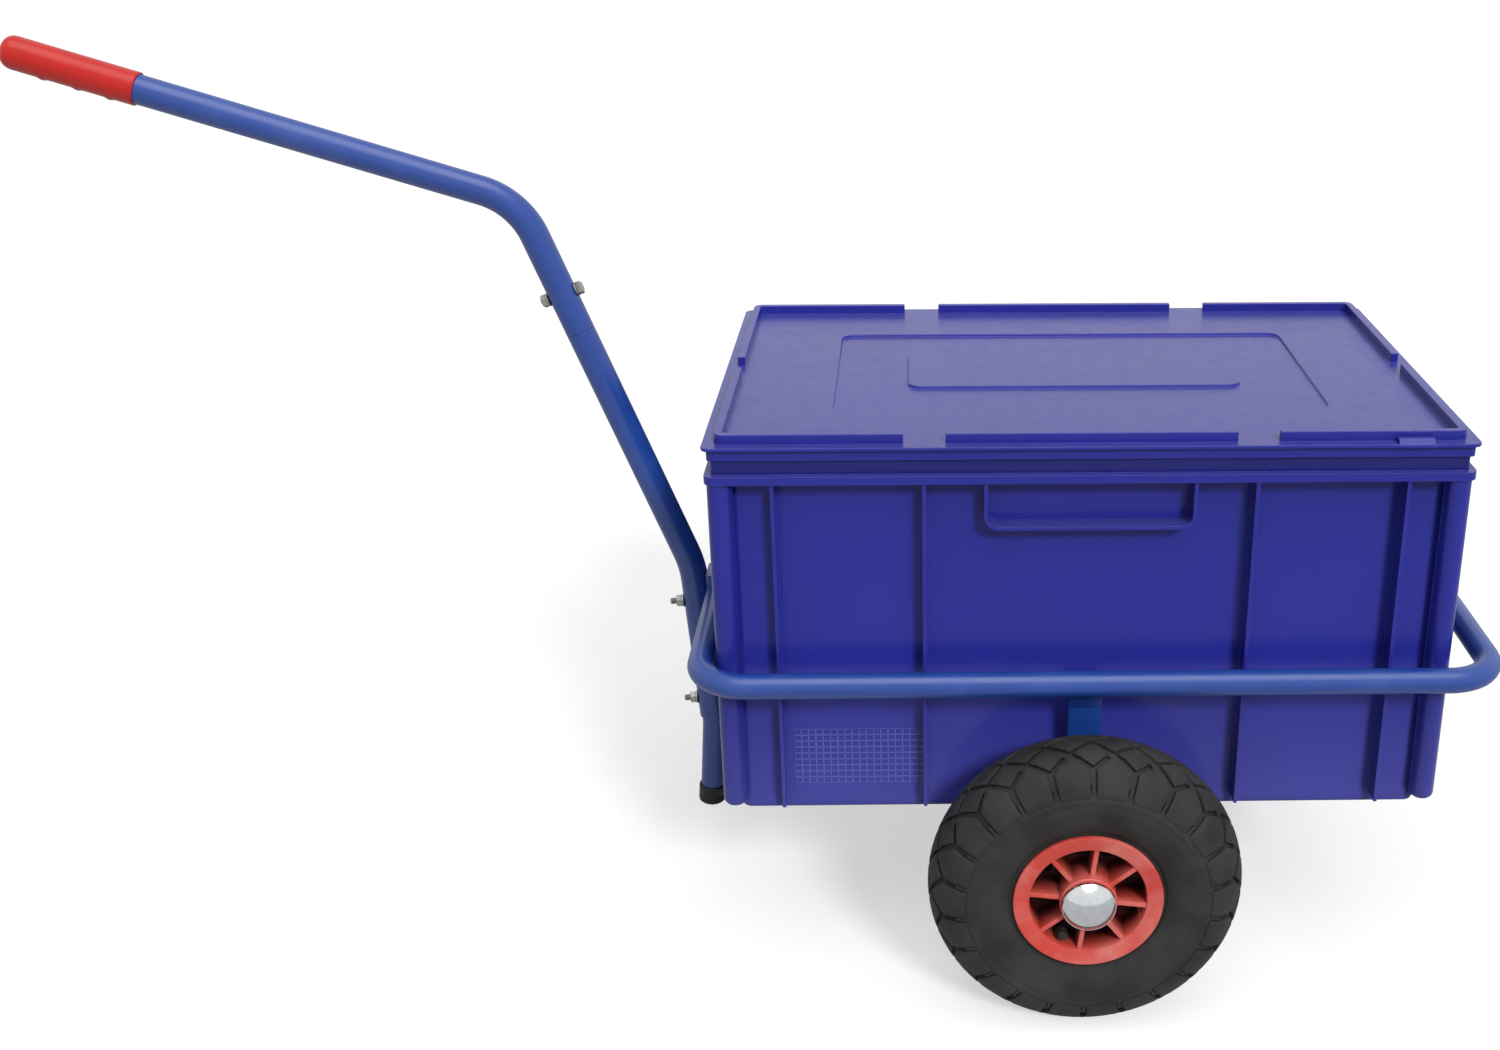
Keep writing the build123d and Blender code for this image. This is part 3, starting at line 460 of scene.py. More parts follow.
# Drawbar: two lengths of tube in the middle plane
drawbar = dict(radius=12.5, wall=1.5, lowerCorner=(-343.3, 0, 307.1), lean=4.1, steep=20.85, arm=17.2,
               steepLength=359.6, armLength=424.0, lowerLength=155.5, lowerBend=100.0, upperBend=65.0,
               boltBelowCorner=86.0, seamBelowBolt=35.0, seamHalf=0.1, lowBore=40.0, endInGrip=7.5,
               studs=(35.1, 136.4), sides=44)


def leaning(angle):
    # direction in the middle plane, so many degrees forward of straight up
    return Vector((-sin(radians(angle)), 0, cos(radians(angle))))


leanUp, steepUp, armOut = leaning(drawbar["lean"]), leaning(drawbar["steep"]), leaning(90 - drawbar["arm"])
lowCorner = Vector(drawbar["lowerCorner"])
highCorner = lowCorner + steepUp * drawbar["steepLength"]
lowEnd = lowCorner - leanUp * drawbar["lowerLength"]
boltPoint = highCorner - steepUp * drawbar["boltBelowCorner"]
seamPoint = boltPoint - steepUp * drawbar["seamBelowBolt"]
bm = bmesh.new()
fromSeam = steepUp * (tubeEdge + drawbar["seamHalf"])
route = [lowEnd + leanUp * tubeEdge, lowCorner, seamPoint - fromSeam]
openTube(bm, drawbar, route, leanUp, steepUp, drawbar["lowerBend"], 2, drawbar["lowBore"])
newPiece(bm, "drawbarLower", *painted, "drawbar_lower")

bm = bmesh.new()
armEnd = highCorner + armOut * (drawbar["armLength"] - drawbar["endInGrip"])
route = [seamPoint + fromSeam, highCorner, armEnd]
openTube(bm, drawbar, route, steepUp, armOut, drawbar["upperBend"], 3)
newPiece(bm, "drawbarUpper", *painted, "drawbar_upper")

# Flat bar behind the drawbar and the one that runs back from it under the container
uprightBar = dict(offset=15.1, top=6.0, cradleIn=2.6, beadSide=15.2, beadEnds=((-10.2, -5.0), (-9.8, 3.0)))
rearward = Vector((leanUp.z, 0, -leanUp.x))
bm = bmesh.new()
top = lowCorner - leanUp * uprightBar["top"] + rearward * uprightBar["offset"]
bottom = lowEnd + rearward * uprightBar["offset"]
flatBar(bm, flatBars["frontWidth"], [top, bottom], -leanUp, (0, 1, 0))
for way in (-1, 1):
    weldBead(bm, *((hoop["front"] + x, way * uprightBar["beadSide"], hoop["height"] + z)
                   for x, z in uprightBar["beadEnds"]))
newPiece(bm, "frontUpright", *painted, "front_upright")
bm = bmesh.new()
cradleEnd = bottom.x + uprightBar["cradleIn"] + (low - bottom.z) * leanUp.x / leanUp.z
route = [(-flatBars["width"] / 2, 0, low), (cradleEnd, 0, low)]
flatBar(bm, flatBars["frontWidth"], route, (-1, 0, 0), (0, 1, 0))
newPiece(bm, "frontCradle", *painted, "front_cradle")

# Handle grip with ridges between the fingers
handle = dict(radius=14.0, length=108.0, endWall=7.0, endRound=9.0, bore=12.6, sides=48, firstRow=3.0, step=2.0,
              rows=49, ridges=(34.0, 62.0, 88.0), ridgeHeight=1.5, ridgeWidth=4.5, ridgePower=1.4)
bm = bmesh.new()
gripStart = highCorner + armOut * (drawbar["armLength"] - handle["length"])
wide, long, curve, bore = (handle[name] for name in ("radius", "length", "endRound", "bore"))
endCurve = [(wide - curve * (1 - sin(a)), long - curve * (1 - cos(a)))
            for a in (radians(90 - 15 * step) for step in range(7))]
outline = [(0, long - handle["endWall"]), (bore, long - handle["endWall"]), (bore, 0), (wide - 0.4, 0),
           (wide, 0.6)]
outline += [(wide, handle["firstRow"] + at * handle["step"]) for at in range(handle["rows"])]
outline += endCurve + [(0, long)]
lathe(bm, outline, handle["sides"], closed=False)
for vert in bm.verts:
    reach = Vector((vert.co.x, vert.co.y, 0))
    if reach.length < wide - 0.2 or vert.co.z < 1:
        continue  # the bore and the mouth stay round
    under = max(0.0, reach.normalized().y) ** 2
    fromEnd = long - vert.co.z
    lift = max(max(0.0, 1 - abs(fromEnd - ridge) / handle["ridgeWidth"]) for ridge in handle["ridges"])
    vert.co += reach.normalized() * under * handle["ridgeHeight"] * lift ** handle["ridgePower"]
move(bm, facing(gripStart, armOut, (0, 1, 0)))
newPiece(bm, "handleGrip", "frame", "grip_plastic", softPvc, "grip", sharp=50)

# Support leg with its cap
leg = dict(radius=10.8, wall=1.5, insert=60.0, bendBelow=6.0, bend=60.0, angle=4.3, length=86.0, capWall=1.8,
           capCover=15.0, capFloor=3.0, capGap=0.1, sides=40)
legDown = leaning(180 - leg["angle"])
legStart, legCorner = lowEnd + leanUp * leg["insert"], lowEnd - leanUp * leg["bendBelow"]
legEnd = legCorner + legDown * leg["length"]
bm = bmesh.new()
route = [legStart - leanUp * tubeEdge, legCorner, legEnd - legDown * tubeEdge]
openTube(bm, leg, route, -leanUp, legDown, leg["bend"], 2)
newPiece(bm, "supportLeg", *painted, "support_leg")

bm = bmesh.new()
bore, inner = leg["radius"] + leg["capGap"], leg["capCover"] + leg["capGap"]
wide, deep = bore + leg["capWall"], inner + leg["capFloor"]
outline = [(0, inner), (bore, inner), (bore, 0.3), (bore + 0.3, 0), (wide - 0.5, 0), (wide, 0.5),
           (wide, deep - 9.5), (wide - 0.35, deep - 9), (wide - 0.35, deep - 8.2), (wide, deep - 7.7),
           (wide, deep - 3), (wide - 0.4, deep - 1.5), (wide - 1.5, deep - 0.4), (wide - 3, deep), (0, deep)]
lathe(bm, outline, leg["sides"], closed=False)
move(bm, facing(legEnd - legDown * leg["capCover"], legDown, (0, 1, 0)))
newPiece(bm, "legCap", "frame", "black_plastic", polyethylene, "leg_cap")

# Cross bolt, studs, nuts and washers on the drawbar
fastener = dict(thread=3.0, root=2.5, pitch=1.0, flats=10.0, nutHeight=5.0, headHeight=4.2, washer=6.0,
                washerThickness=1.6, seat=12.6, studReach=25.0, threadFrom=8.0, boltPast=1.0, cone=0.9,
                coneHeight=0.5, dimple=0.3, gap=0.1, sides=20)
boltPlace = facing(boltPoint, (-steepUp.z, 0, steepUp.x), (0, 1, 0))
studPlaces = [facing(lowCorner - leanUp * at, -rearward, (0, 1, 0)) for at in drawbar["studs"]]
nutSeat = fastener["seat"] + fastener["washerThickness"]


def threadedRod(bm, start, end, matrix):
    crest, root, plain, pitch = (fastener[name] for name in ("thread", "root", "threadFrom", "pitch"))
    outline = [(0, start), (crest, start), (crest, plain)]
    count = int((end - plain) / pitch * 2)
    outline += [(root if at % 2 else crest, plain + at * pitch / 2) for at in range(1, count)]
    outline += [(root - 0.2, end), (0, end)]
    before = set(bm.verts)
    lathe(bm, outline, fastener["sides"], closed=False)
    move(bm, matrix, before)


def hexBlock(bm, start, height, matrix, bore=0.0):
    # six flats, both faces turned to a cone at the corners
    cone, rise = fastener["cone"], fastener["coneHeight"]
    wide = fastener["flats"] / 2 / cos(pi / 6)
    share = bore / wide / cone if bore else fastener["dimple"]
    ring = circleLoop(bm, wide * cone, 6, matrix @ Matrix.Translation((0, 0, start)))
    axis = (matrix.to_3x3() @ Vector((0, 0, 1))).normalized()
    low = drawRing(bm, ring, (0, 0, 0), share)
    for up, shrink in ((rise, 1 / cone), (height - 2 * rise, 1.0), (rise, cone)):
        ring = drawRing(bm, ring, axis * up, shrink)
    hole = drawRing(bm, ring, (0, 0, 0), share)
    if bore:
        ops.bridge_loops(bm, edges=low + hole)
    else:
        fill(bm, low)
        fill(bm, hole)


bm = bmesh.new()
hexBlock(bm, -nutSeat - fastener["headHeight"], fastener["headHeight"], boltPlace)
threadedRod(bm, -nutSeat, nutSeat + fastener["nutHeight"] + fastener["boltPast"], boltPlace)
newPiece(bm, "jointBolt", *plated, "joint_bolt")
bm = bmesh.new()
for matrix in studPlaces:
    threadedRod(bm, -fastener["seat"], fastener["studReach"], matrix)
newPiece(bm, "frameStuds", *plated, "frame_studs")
bm = bmesh.new()
outer, thick, hole = fastener["washer"], fastener["washerThickness"], fastener["thread"] + fastener["gap"]
for matrix in (boltPlace, *studPlaces):
    hexBlock(bm, nutSeat, fastener["nutHeight"], matrix, hole)
newPiece(bm, "drawbarNuts", *plated, "drawbar_nuts")
bm = bmesh.new()
seats = [(matrix, fastener["seat"]) for matrix in (boltPlace, *studPlaces)] + [(boltPlace, -nutSeat)]
for matrix, seat in seats:
    before = set(bm.verts)
    lathe(bm, [(hole, seat), (outer - 0.2, seat), (outer, seat + 0.2), (outer, seat + thick - 0.4),
               (outer - 0.4, seat + thick), (hole, seat + thick)], 32)
    move(bm, matrix, before)
newPiece(bm, "drawbarWashers", *plated, "drawbar_washers")

# Wheels are made with their axle along z and their outer face towards +z
wheel = dict(offset=250.0, axleHeight=130.0)
wheelSides = ((-1, "left"), (1, "right"))
# lines: place, near and far edge and depth, in degrees round the section and mm; neck: from, to and depth
tyre = dict(ring=90.0, section=40.0, floor=36.2, wall=6.0, tread=66.0, shoulder=76.0, step=0.7, stepFrom=78.0,
            stepOver=4.0, lines=(101.0, 1.5, 3.0, 0.5), neck=(82.0, 88.0, 0.8), flank=31.0, beadOuter=29.7,
            beadInner=20.0, beadSeat=53.4, stepRadius=63.7, sides=120, innerSides=72)
tread = dict(pitches=22, start=0.4, armEnd=40.5, armMeet=18.5, shoulderEnd=75.5, groove=3.2, shoulderGroove=6.4,
             edge=0.9, outer=130.0, sunk=0.4, gap=0.1, tieDepth=1.0, tieAt=0.83, tieShare=0.2, tieOver=1.2,
             sideTieShare=0.5, sideTieLong=0.42)


def wheelPlace(side):
    return facing((0, side * wheel["offset"], wheel["axleHeight"]), (0, side, 0), (1, 0, 0))


def carcass(bm):
    # round section with a lowered band for the blocks, beads at its open side, turned about the axle
    stand = Matrix.Translation((tyre["ring"], 0, 0)) @ Matrix.Rotation(pi / 2, 4, "X")
    outside = circleLoop(bm, tyre["section"], tyre["sides"], stand)
    lineAt, lineNear, lineFar, lineDeep = tyre["lines"]
    neckFrom, neckTo, neckDeep = tyre["neck"]
    for vert in vertsOf(outside):
        fromRing = Vector((vert.co.x - tyre["ring"], 0, vert.co.z))
        roll = degrees(fromRing.angle(Vector((1, 0, 0))))
        rise = min(1.0, max(0.0, (roll - tyre["tread"]) / (tyre["shoulder"] - tyre["tread"])))
        level = tyre["floor"] + (tyre["section"] - tyre["step"] - tyre["floor"]) * rise
        level += tyre["step"] * min(1.0, max(0.0, (roll - tyre["stepFrom"]) / tyre["stepOver"]))
        # two fine lines and a neck on the side wall
        level -= lineDeep * (lineNear < abs(roll - lineAt) < lineFar) + neckDeep * (neckFrom < roll < neckTo)
        vert.co = Vector((tyre["ring"], 0, 0)) + fromRing.normalized() * level
    hollow = tyre["section"] - tyre["wall"]
    inside = circleLoop(bm, hollow, tyre["innerSides"], stand)
    for edges, half, radius in ((outside, tyre["flank"], tyre["section"]), (inside, tyre["beadInner"], hollow)):
        cutAt = tyre["ring"] - (radius ** 2 - half ** 2) ** 0.5
        ops.bisect_plane(bm, geom=edges + vertsOf(edges), dist=0.0001, plane_co=(cutAt, 0, 0),
                         plane_no=(-1, 0, 0), clear_outer=True)
    ends = [vert for vert in bm.verts if len(vert.link_edges) == 1]
    for way in (-1, 1):
        flankEnd, lipEnd = sorted((v for v in ends if v.co.z * way > 0), key=lambda v: -abs(v.co.z))
        corners = [(tyre["stepRadius"], tyre["beadOuter"]), (tyre["beadSeat"], tyre["beadOuter"]),
                   (tyre["beadSeat"], tyre["beadInner"])]
        chain = [flankEnd] + [bm.verts.new((r, 0, way * out)) for r, out in corners] + [lipEnd]
        for pair in zip(chain, chain[1:]):
            bm.edges.new(pair)
    ops.spin(bm, geom=bm.verts[:] + bm.edges[:], cent=(0, 0, 0), axis=(0, 0, 1), angle=2 * pi,
             steps=tread["pitches"] * 4, use_merge=True, use_duplicate=False)


def treadBlocks():
    # one pitch drawn flat: x along the tread, y across it, z out of it, then rolled on to the tyre
    bm = bmesh.new()
    pitch = 2 * pi / tread["pitches"] * tread["outer"]
    across = [radians(tread[name]) * tyre["section"] for name in ("armEnd", "armMeet", "shoulderEnd")]
    armEnd, armMeet, shoulder = across
    half, side = pitch / 2, (tread["shoulderGroove"] - tread["groove"]) / 2
    edge, sunk = tread["groove"] / 2, tread["sunk"]
    reach = shoulder + edge
    outlines = [[(0, 0), (half, -armMeet), (pitch, 0), (half, armMeet)]]
    for way in (-1, 1):
        outlines.append([(0, way * armEnd), (half, way * armMeet), (0, 0), (-half, way * armMeet)])
        outlines.append([(side, way * reach), (side, way * armEnd), (half, way * armMeet),
                         (pitch - side, way * armEnd), (pitch - side, way * reach)])
    for outline in outlines:
        face = bm.faces.new([bm.verts.new((x, y, -sunk)) for x, y in outline])
        face.normal_update()
        rim = ops.inset_region(bm, faces=[face], thickness=edge, use_even_offset=True,
                               use_boundary=True)["faces"]
        ops.delete(bm, geom=rim, context="FACES")
    cuts = [((0, reach * (step / 9 - 1), 0), (0, 1, 0)) for step in range(1, 18)]
    cuts += [((pitch * step / 4, 0, 0), (1, 0, 0)) for step in range(-2, 5)]
    faces = cutAcross(bm, bm.faces[:], cuts)
    height = tyre["section"] - tyre["floor"] - tread["gap"]
    raiseFaces(bm, faces, (0, 0, height + sunk))
    rims = [e for e in bm.edges if min(v.co.z for v in e.verts) > height - 0.01 and e.calc_face_angle(0) > 1]
    roundOff(bm, rims, tread["edge"], 2)
    tieTop = height - tread["tieDepth"]
    tall, level = tieTop + sunk, (tieTop - sunk) / 2
    for way in (-1, 1):
        # a low tie bridges one arm of each groove near its end, another lies in each side groove
        foot, top = Vector((0, way * armEnd, 0)), Vector((half, way * armMeet, 0))
        middle = foot.lerp(top, tread["tieAt"])
        turn = Matrix.Rotation((top - foot).to_2d().angle_signed(Vector((1, 0))), 4, "Z")
        bar(bm, ((top - foot).length * tread["tieShare"], tread["groove"] + tread["tieOver"], tall),
            (0, 0, level), Matrix.Translation(middle) @ turn)
        wide = tread["shoulderGroove"] * tread["sideTieShare"]
        length = (shoulder - armEnd) * tread["sideTieLong"]
        bar(bm, (wide, length, tall), (0, way * (shoulder - length / 2), level))
    for vert in bm.verts:
        along = vert.co.x / tread["outer"] + radians(tread["start"])
        roll, out = vert.co.y / tyre["section"], tyre["floor"] + vert.co.z
        reach = tyre["ring"] + out * cos(roll)
        vert.co = (reach * sin(along), reach * cos(along), out * sin(roll))
    copiesAround(bm, bm.verts[:] + bm.edges[:] + bm.faces[:], tread["pitches"])
    return bm


for side, name in wheelSides:
    bm = treadBlocks()
    body = bmesh.new()
    carcass(body)
    lump = bpy.data.meshes.new("carcass")
    body.to_mesh(lump)
    body.free()
    bm.from_mesh(lump)
    bpy.data.meshes.remove(lump)
    move(bm, wheelPlace(side))
    newPiece(bm, "tyre" + name.title(), "wheel_" + name, "tyre_rubber", tyreRubber, "tyre_" + name)

# Rims: two moulded halves with ribs, pockets and windows
rim = dict(barrelOuter=53.0, barrelInner=47.8, flange=61.3, flangeBack=30.2, faceOut=34.0, web=4.0,
           hubInner=18.2, hubOuter=23.5, hubLength=36.0, ribs=8, ribThickness=4.0, ribDepth=31.0, ribTurn=-7.0,
           pocket=36.0, window=8.0, windows=4, sides=96)
for side, name in wheelSides:
    bm = bmesh.new()
    out, back, flange = rim["faceOut"], rim["flangeBack"], rim["flange"]
    barrel, bore = rim["barrelOuter"], rim["barrelInner"]
    lathe(bm, [(bore, 0), (barrel, 0), (barrel, back - 1), (barrel + 1, back), (flange - 0.8, back),
               (flange, back + 0.8), (flange, out - 1.0), (flange - 0.3, out - 0.3), (flange - 1.0, out),
               (flange - 1.8, out - 0.1), (bore + 1.6, out - 1.6), (bore + 0.5, out - 1.9), (bore, out - 2.6)],
          rim["sides"])
    hubIn, hubOut, long = rim["hubInner"], rim["hubOuter"], rim["hubLength"]
    lathe(bm, [(hubIn, 0), (hubOut, 0), (hubOut, long - 1), (hubOut - 1, long), (hubIn + 0.8, long),
               (hubIn, long - 0.8)], rim["sides"])
    ribIn, ribOut, deep = hubOut - 1, bore + 1, rim["ribDepth"]
    before = set(bm.faces)
    bar(bm, (ribOut - ribIn, rim["ribThickness"], deep), ((ribIn + ribOut) / 2, 0, deep / 2),
        Matrix.Rotation(radians(rim["ribTurn"]), 4, "Z"))
    copiesAround(bm, withParts(set(bm.faces) - before), rim["ribs"])
    edges = circleLoop(bm, bore + 0.5, 64) + circleLoop(bm, hubOut - 0.5, 48)
    for at in range(rim["windows"]):
        turn = radians(rim["ribTurn"] + 180 / rim["ribs"] + 45 + at * 90)
        spot = (rim["pocket"] * cos(turn), rim["pocket"] * sin(turn), 0)
        edges += circleLoop(bm, rim["window"], 24, Matrix.Translation(spot))
    web = ops.triangle_fill(bm, use_beauty=True, use_dissolve=False, edges=edges)["geom"]
    raiseFaces(bm, only(BMFace, web), (0, 0, rim["web"]))
    half = bm.verts[:] + bm.edges[:] + bm.faces[:]
    copied = ops.duplicate(bm, geom=half)["geom"]
    ops.scale(bm, vec=(1, 1, -1), verts=only(BMVert, copied))
    move(bm, wheelPlace(side))
    newPiece(bm, "rim" + name.title(), "wheel_" + name, "rim_plastic", rimPlastic, "rim_outer_" + name,
             "rim_inner_" + name, edge=0.5, edgeAngle=50)

# Domed caps on the axle's ends
cap = dict(seat=38.5, radius=22.2, rim=3.0, height=13.0, sheet=1.2, bore=10.1, sides=64, steps=10)


def domeArc(radius, low, high, steps):
    # points of a round dome, from its edge up to the middle
    rise = high - low
    ball = (radius ** 2 + rise ** 2) / (2 * rise)
    angles = [asin(min(1.0, radius / ball)) * (1 - at / steps) for at in range(steps + 1)]
    return [(ball * sin(a), high - ball + ball * cos(a)) for a in angles]


for side, name in wheelSides:
    bm = bmesh.new()
    seat, wide, sheet, bore = cap["seat"], cap["radius"], cap["sheet"], cap["bore"]
    edge, top, inner = seat + cap["rim"], seat + cap["height"], wide - sheet
    outline = domeArc(inner, edge, top - sheet, cap["steps"])[::-1]
    outline += [(inner, seat + sheet), (bore, seat + sheet), (bore, seat), (wide - 0.5, seat),
                (wide, seat + 0.5), (wide, edge - 0.7), (wide - 0.5, edge)]
    outline += domeArc(wide - 0.9, edge, top, cap["steps"])
    lathe(bm, outline, cap["sides"], closed=False)
    move(bm, wheelPlace(side))
    newPiece(bm, "hubCap" + name.title(), "frame", "bright_cap", chrome, "hub_cap_" + name, sharp=30)

# Valves: a rubber stem out of the air tube, bent outwards, with a ribbed dust cap
# the rows of the dust cap: rise and change of width
stem = dict(radius=3.4, capRadius=4.0, offset=14.0, reach=57.8, bendAt=40.0, bend=6.0, turn=240.5, capFrom=22.0,
            ribs=4, ribRows=((0.9, 0.9), (0.3, 1 / 0.9), (0.6, 1.0)), endRows=((1.2, 1.0), (0.9, 0.75)),
            sides=20)
for side, name in wheelSides:
    bm = bmesh.new()
    turn = Matrix.Rotation(radians(stem["turn"]), 4, "Z")
    route = [turn @ Vector(p) for p in ((stem["reach"], 0, stem["offset"]), (stem["bendAt"], 0, stem["offset"]),
                                        (stem["bendAt"], 0, stem["capFrom"]))]
    ring = circleLoop(bm, stem["radius"], stem["sides"], facing(route[0], route[1] - route[0], (0, 0, 1)))
    fill(bm, ring)
    ring = runAlong(bm, ring, route, stem["bend"], 10)
    capRows = [(0.3, stem["capRadius"] / stem["radius"]), *stem["ribRows"] * stem["ribs"], *stem["endRows"]]
    for rise, shrink in capRows:
        ring = drawRing(bm, ring, (0, 0, rise), shrink)
    fill(bm, ring)
    move(bm, wheelPlace(side))
    newPiece(bm, "valveStem" + name.title(), "wheel_" + name, "tube_rubber", butylRubber, "valve_" + name)

# Container: recessed walls between round corner posts, with fins, foot and collar
box = dict(base=163.0, top=490.0, collar=(462.0, 469.0), length=606.0, width=406.0, collarRadius=8.0,
           postInset=1.5, postRadius=10.0, postFoot=6.0, web=9.7, recess=17.0, wallRadius=6.0, wall=3.0,
           floor=4.0, footOutset=3.0, foot=8.0, footSlope=7.0, footRound=3.0, start=171.0, bandInset=6.0,
           rimRadius=1.0, fin=3.0, finBack=0.3, fins=(131.0, 250.0), endFin=131.0, frameHalf=84.0,
           frameBottom=422.0, frameRound=12.0, sunk=0.5, edge=0.7)
label = dict(left=-241.0, right=-132.0, low=185.0, high=237.0, columns=18, rows=9, line=1.4, height=0.7,
             sunk=0.2)
bm = bmesh.new()
outLength, outWidth = box["length"] - 2 * box["postInset"], box["width"] - 2 * box["postInset"]
wallLength, wallWidth = outLength - 2 * box["recess"], outWidth - 2 * box["recess"]
base, start, wall, fin = (box[name] for name in ("base", "start", "wall", "fin"))
low, high = box["collar"]
inLength, inWidth = wallLength - 2 * wall, wallWidth - 2 * wall
footLength, footWidth = wallLength + 2 * box["footOutset"], wallWidth + 2 * box["footOutset"]
footRadius = box["wallRadius"] + box["footOutset"]
rows = []
for at in range(5):  # rounded lower edge of the foot
    a = radians(22.5 * at)
    back = box["footRound"] * (1 - sin(a))
    rows.append((footLength - 2 * back, footWidth - 2 * back, footRadius - back,
                 base + box["footRound"] * (1 - cos(a))))
wallLow = base + box["foot"] + box["footSlope"]
rows += [(footLength, footWidth, footRadius, base + box["foot"]),
         (wallLength, wallWidth, box["wallRadius"], wallLow),
         (wallLength, wallWidth, box["wallRadius"], low),
         (box["length"], box["width"], box["collarRadius"], low),
         (box["length"], box["width"], box["collarRadius"], high)]
band = 2 * box["bandInset"]
rows += [(box["length"] - band, box["width"] - band, box["collarRadius"] - box["bandInset"], level)
         for level in (high, box["top"])]
rimLong, rimWide = (box[name] - band - 2 * wall for name in ("length", "width"))
rows += [(rimLong, rimWide, box["rimRadius"], level) for level in (box["top"], low + wall)]
rows += [(inLength, inWidth, box["wallRadius"] - wall, level) for level in (low + wall, base + box["floor"])]
stackLoops(bm, rows, steps=8)
# round corner posts, each with a square web behind it
post, web = box["postRadius"], box["web"]
postX, postY = outLength / 2 - post, outWidth / 2 - post
tall = low + 1 - start
for wayX, wayY in ((-1, -1), (1, -1), (1, 1), (-1, 1)):
    x, y = wayX * postX, wayY * postY
    before = set(bm.edges)
    ops.create_cone(bm, cap_ends=True, segments=48, radius1=post, radius2=post, depth=tall,
                    matrix=Matrix.Translation((x, y, start + tall / 2)))
    heel = [e for e in set(bm.edges) - before if all(abs(v.co.z - start) < 0.01 for v in e.verts)]
    roundOff(bm, heel, box["postFoot"], 5)
    bar(bm, (web, web, tall), (x - wayX * web / 2, y - wayY * web / 2, start + tall / 2))
# fins on all four sides
tall, deep = low - start, box["recess"] + box["sunk"]
finX, finY = (outLength - box["finBack"] - deep) / 2, (outWidth - box["finBack"] - deep) / 2
for way in (-1, 1):
    for place in [way2 * at for at in box["fins"] for way2 in (-1, 1)]:
        bar(bm, (fin, deep, tall), (place, way * finY, start + tall / 2))
    for place in (-box["endFin"], box["endFin"]):
        bar(bm, (deep, fin, tall), (way * finX, place, start + tall / 2))
# frames of the hand recesses, open to the outside
for turn, reach in ((0, outWidth / 2), (90, outLength / 2), (180, outWidth / 2), (270, outLength / 2)):
    tall = low + fin - box["frameBottom"]
    before = set(bm.verts)
    made = ops.create_grid(bm, x_segments=1, y_segments=1, size=0.5)["verts"]
    ops.scale(bm, vec=(2 * box["frameHalf"], tall, 1), verts=made)
    feet = [vert for vert in made if vert.co.y < 0]
    upper = [vert for vert in made if vert.co.y > 0]
    roundOff(bm, feet, box["frameRound"], 6, "VERTICES")
    sheet = upper[0].link_faces[0]
    sheet.normal_update()
    rimFaces = ops.inset_region(bm, faces=[sheet], thickness=fin, use_even_offset=True,
                                use_boundary=True)["faces"]
    ops.delete(bm, geom=[sheet], context="FACES")
    raiseFaces(bm, rimFaces, (0, 0, deep))
    stand = facing((0, -reach + deep, box["frameBottom"] + tall / 2), (0, -1, 0), (1, 0, 0))
    move(bm, Matrix.Rotation(radians(turn), 4, "Z") @ stand, before)
# raised lattice of the label field, on both long sides
for turn in (0, 180):
    before = set(bm.verts)
    made = ops.create_grid(bm, x_segments=label["columns"], y_segments=label["rows"], size=0.5)["verts"]
    wide, tall = label["right"] - label["left"], label["high"] - label["low"]
    ops.scale(bm, vec=(wide, tall, 1), verts=made)
    cells = list({face for vert in made for face in vert.link_faces})
    bm.normal_update()
    lines = ops.inset_individual(bm, faces=cells, thickness=label["line"] / 2,
                                 use_even_offset=True)["faces"]
    ops.delete(bm, geom=cells, context="FACES")
    raiseFaces(bm, lines, (0, 0, label["height"] + label["sunk"]))
    middle = ((label["left"] + label["right"]) / 2, label["sunk"] - wallWidth / 2,
              (label["low"] + label["high"]) / 2)
    move(bm, Matrix.Rotation(radians(turn), 4, "Z") @ facing(middle, (0, -1, 0), (1, 0, 0)), before)
newPiece(bm, "containerBox", "container", "container_plastic", polypropylene, "container", edge=box["edge"])

# Lid: plate with a skirt, a broken stacking border, a recessed field and a raised middle panel
lid = dict(length=608.0, width=408.0, radius=8.0, under=490.0, plate=3.0, skirt=9.0, skirtInset=4.0,
           skirtWall=2.7, borderInset=9.5, borderWidth=6.5, borderHeight=8.0, borderSunk=1.0, gap=33.0,
           gapAt=130.5, endGap=30.0, field=(411.0, 225.0), fieldDepth=2.5, fieldRadius=12.0,
           panel=(286.0, 96.0), lip=6.0, lipGap=1.2, lipWall=3.0, lipRadius=6.0, lipSunk=0.5, tabWidth=29.0,
           tabAt=252.0, tabHeight=4.0, tabDepth=1.0, tabReach=9.0, tabSlope=4.5, edge=0.9)
bm = bmesh.new()


def smaller(sizes, inset):
    # length and width of a rectangle drawn in by so much on each side
    return [size - 2 * inset for size in sizes]


under, plate, corner = lid["under"], lid["plate"], lid["fieldRadius"]
top = under + plate
fieldFloor, skirtLow = top - lid["fieldDepth"], under - lid["skirt"]
plateSize = (lid["length"], lid["width"])
skirtOut = smaller(plateSize, lid["skirtInset"])
skirtIn = smaller(skirtOut, lid["skirtWall"])
outRadius = lid["radius"] - lid["skirtInset"]
inRadius = outRadius - lid["skirtWall"]
pan = smaller(lid["field"], -plate)
stackLoops(bm, [(*lid["panel"], corner, top), (*smaller(lid["panel"], -1), corner + 1, fieldFloor),
                (*smaller(lid["field"], 1), corner - 1, fieldFloor), (*lid["field"], corner, top),
                (*plateSize, lid["radius"], top), (*plateSize, lid["radius"], under),
                (*skirtOut, outRadius, under), (*skirtOut, outRadius, skirtLow),
                (*skirtIn, inRadius, skirtLow), (*skirtIn, inRadius, under),
                (*pan, corner, under), (*pan, corner, fieldFloor - plate)], steps=8)
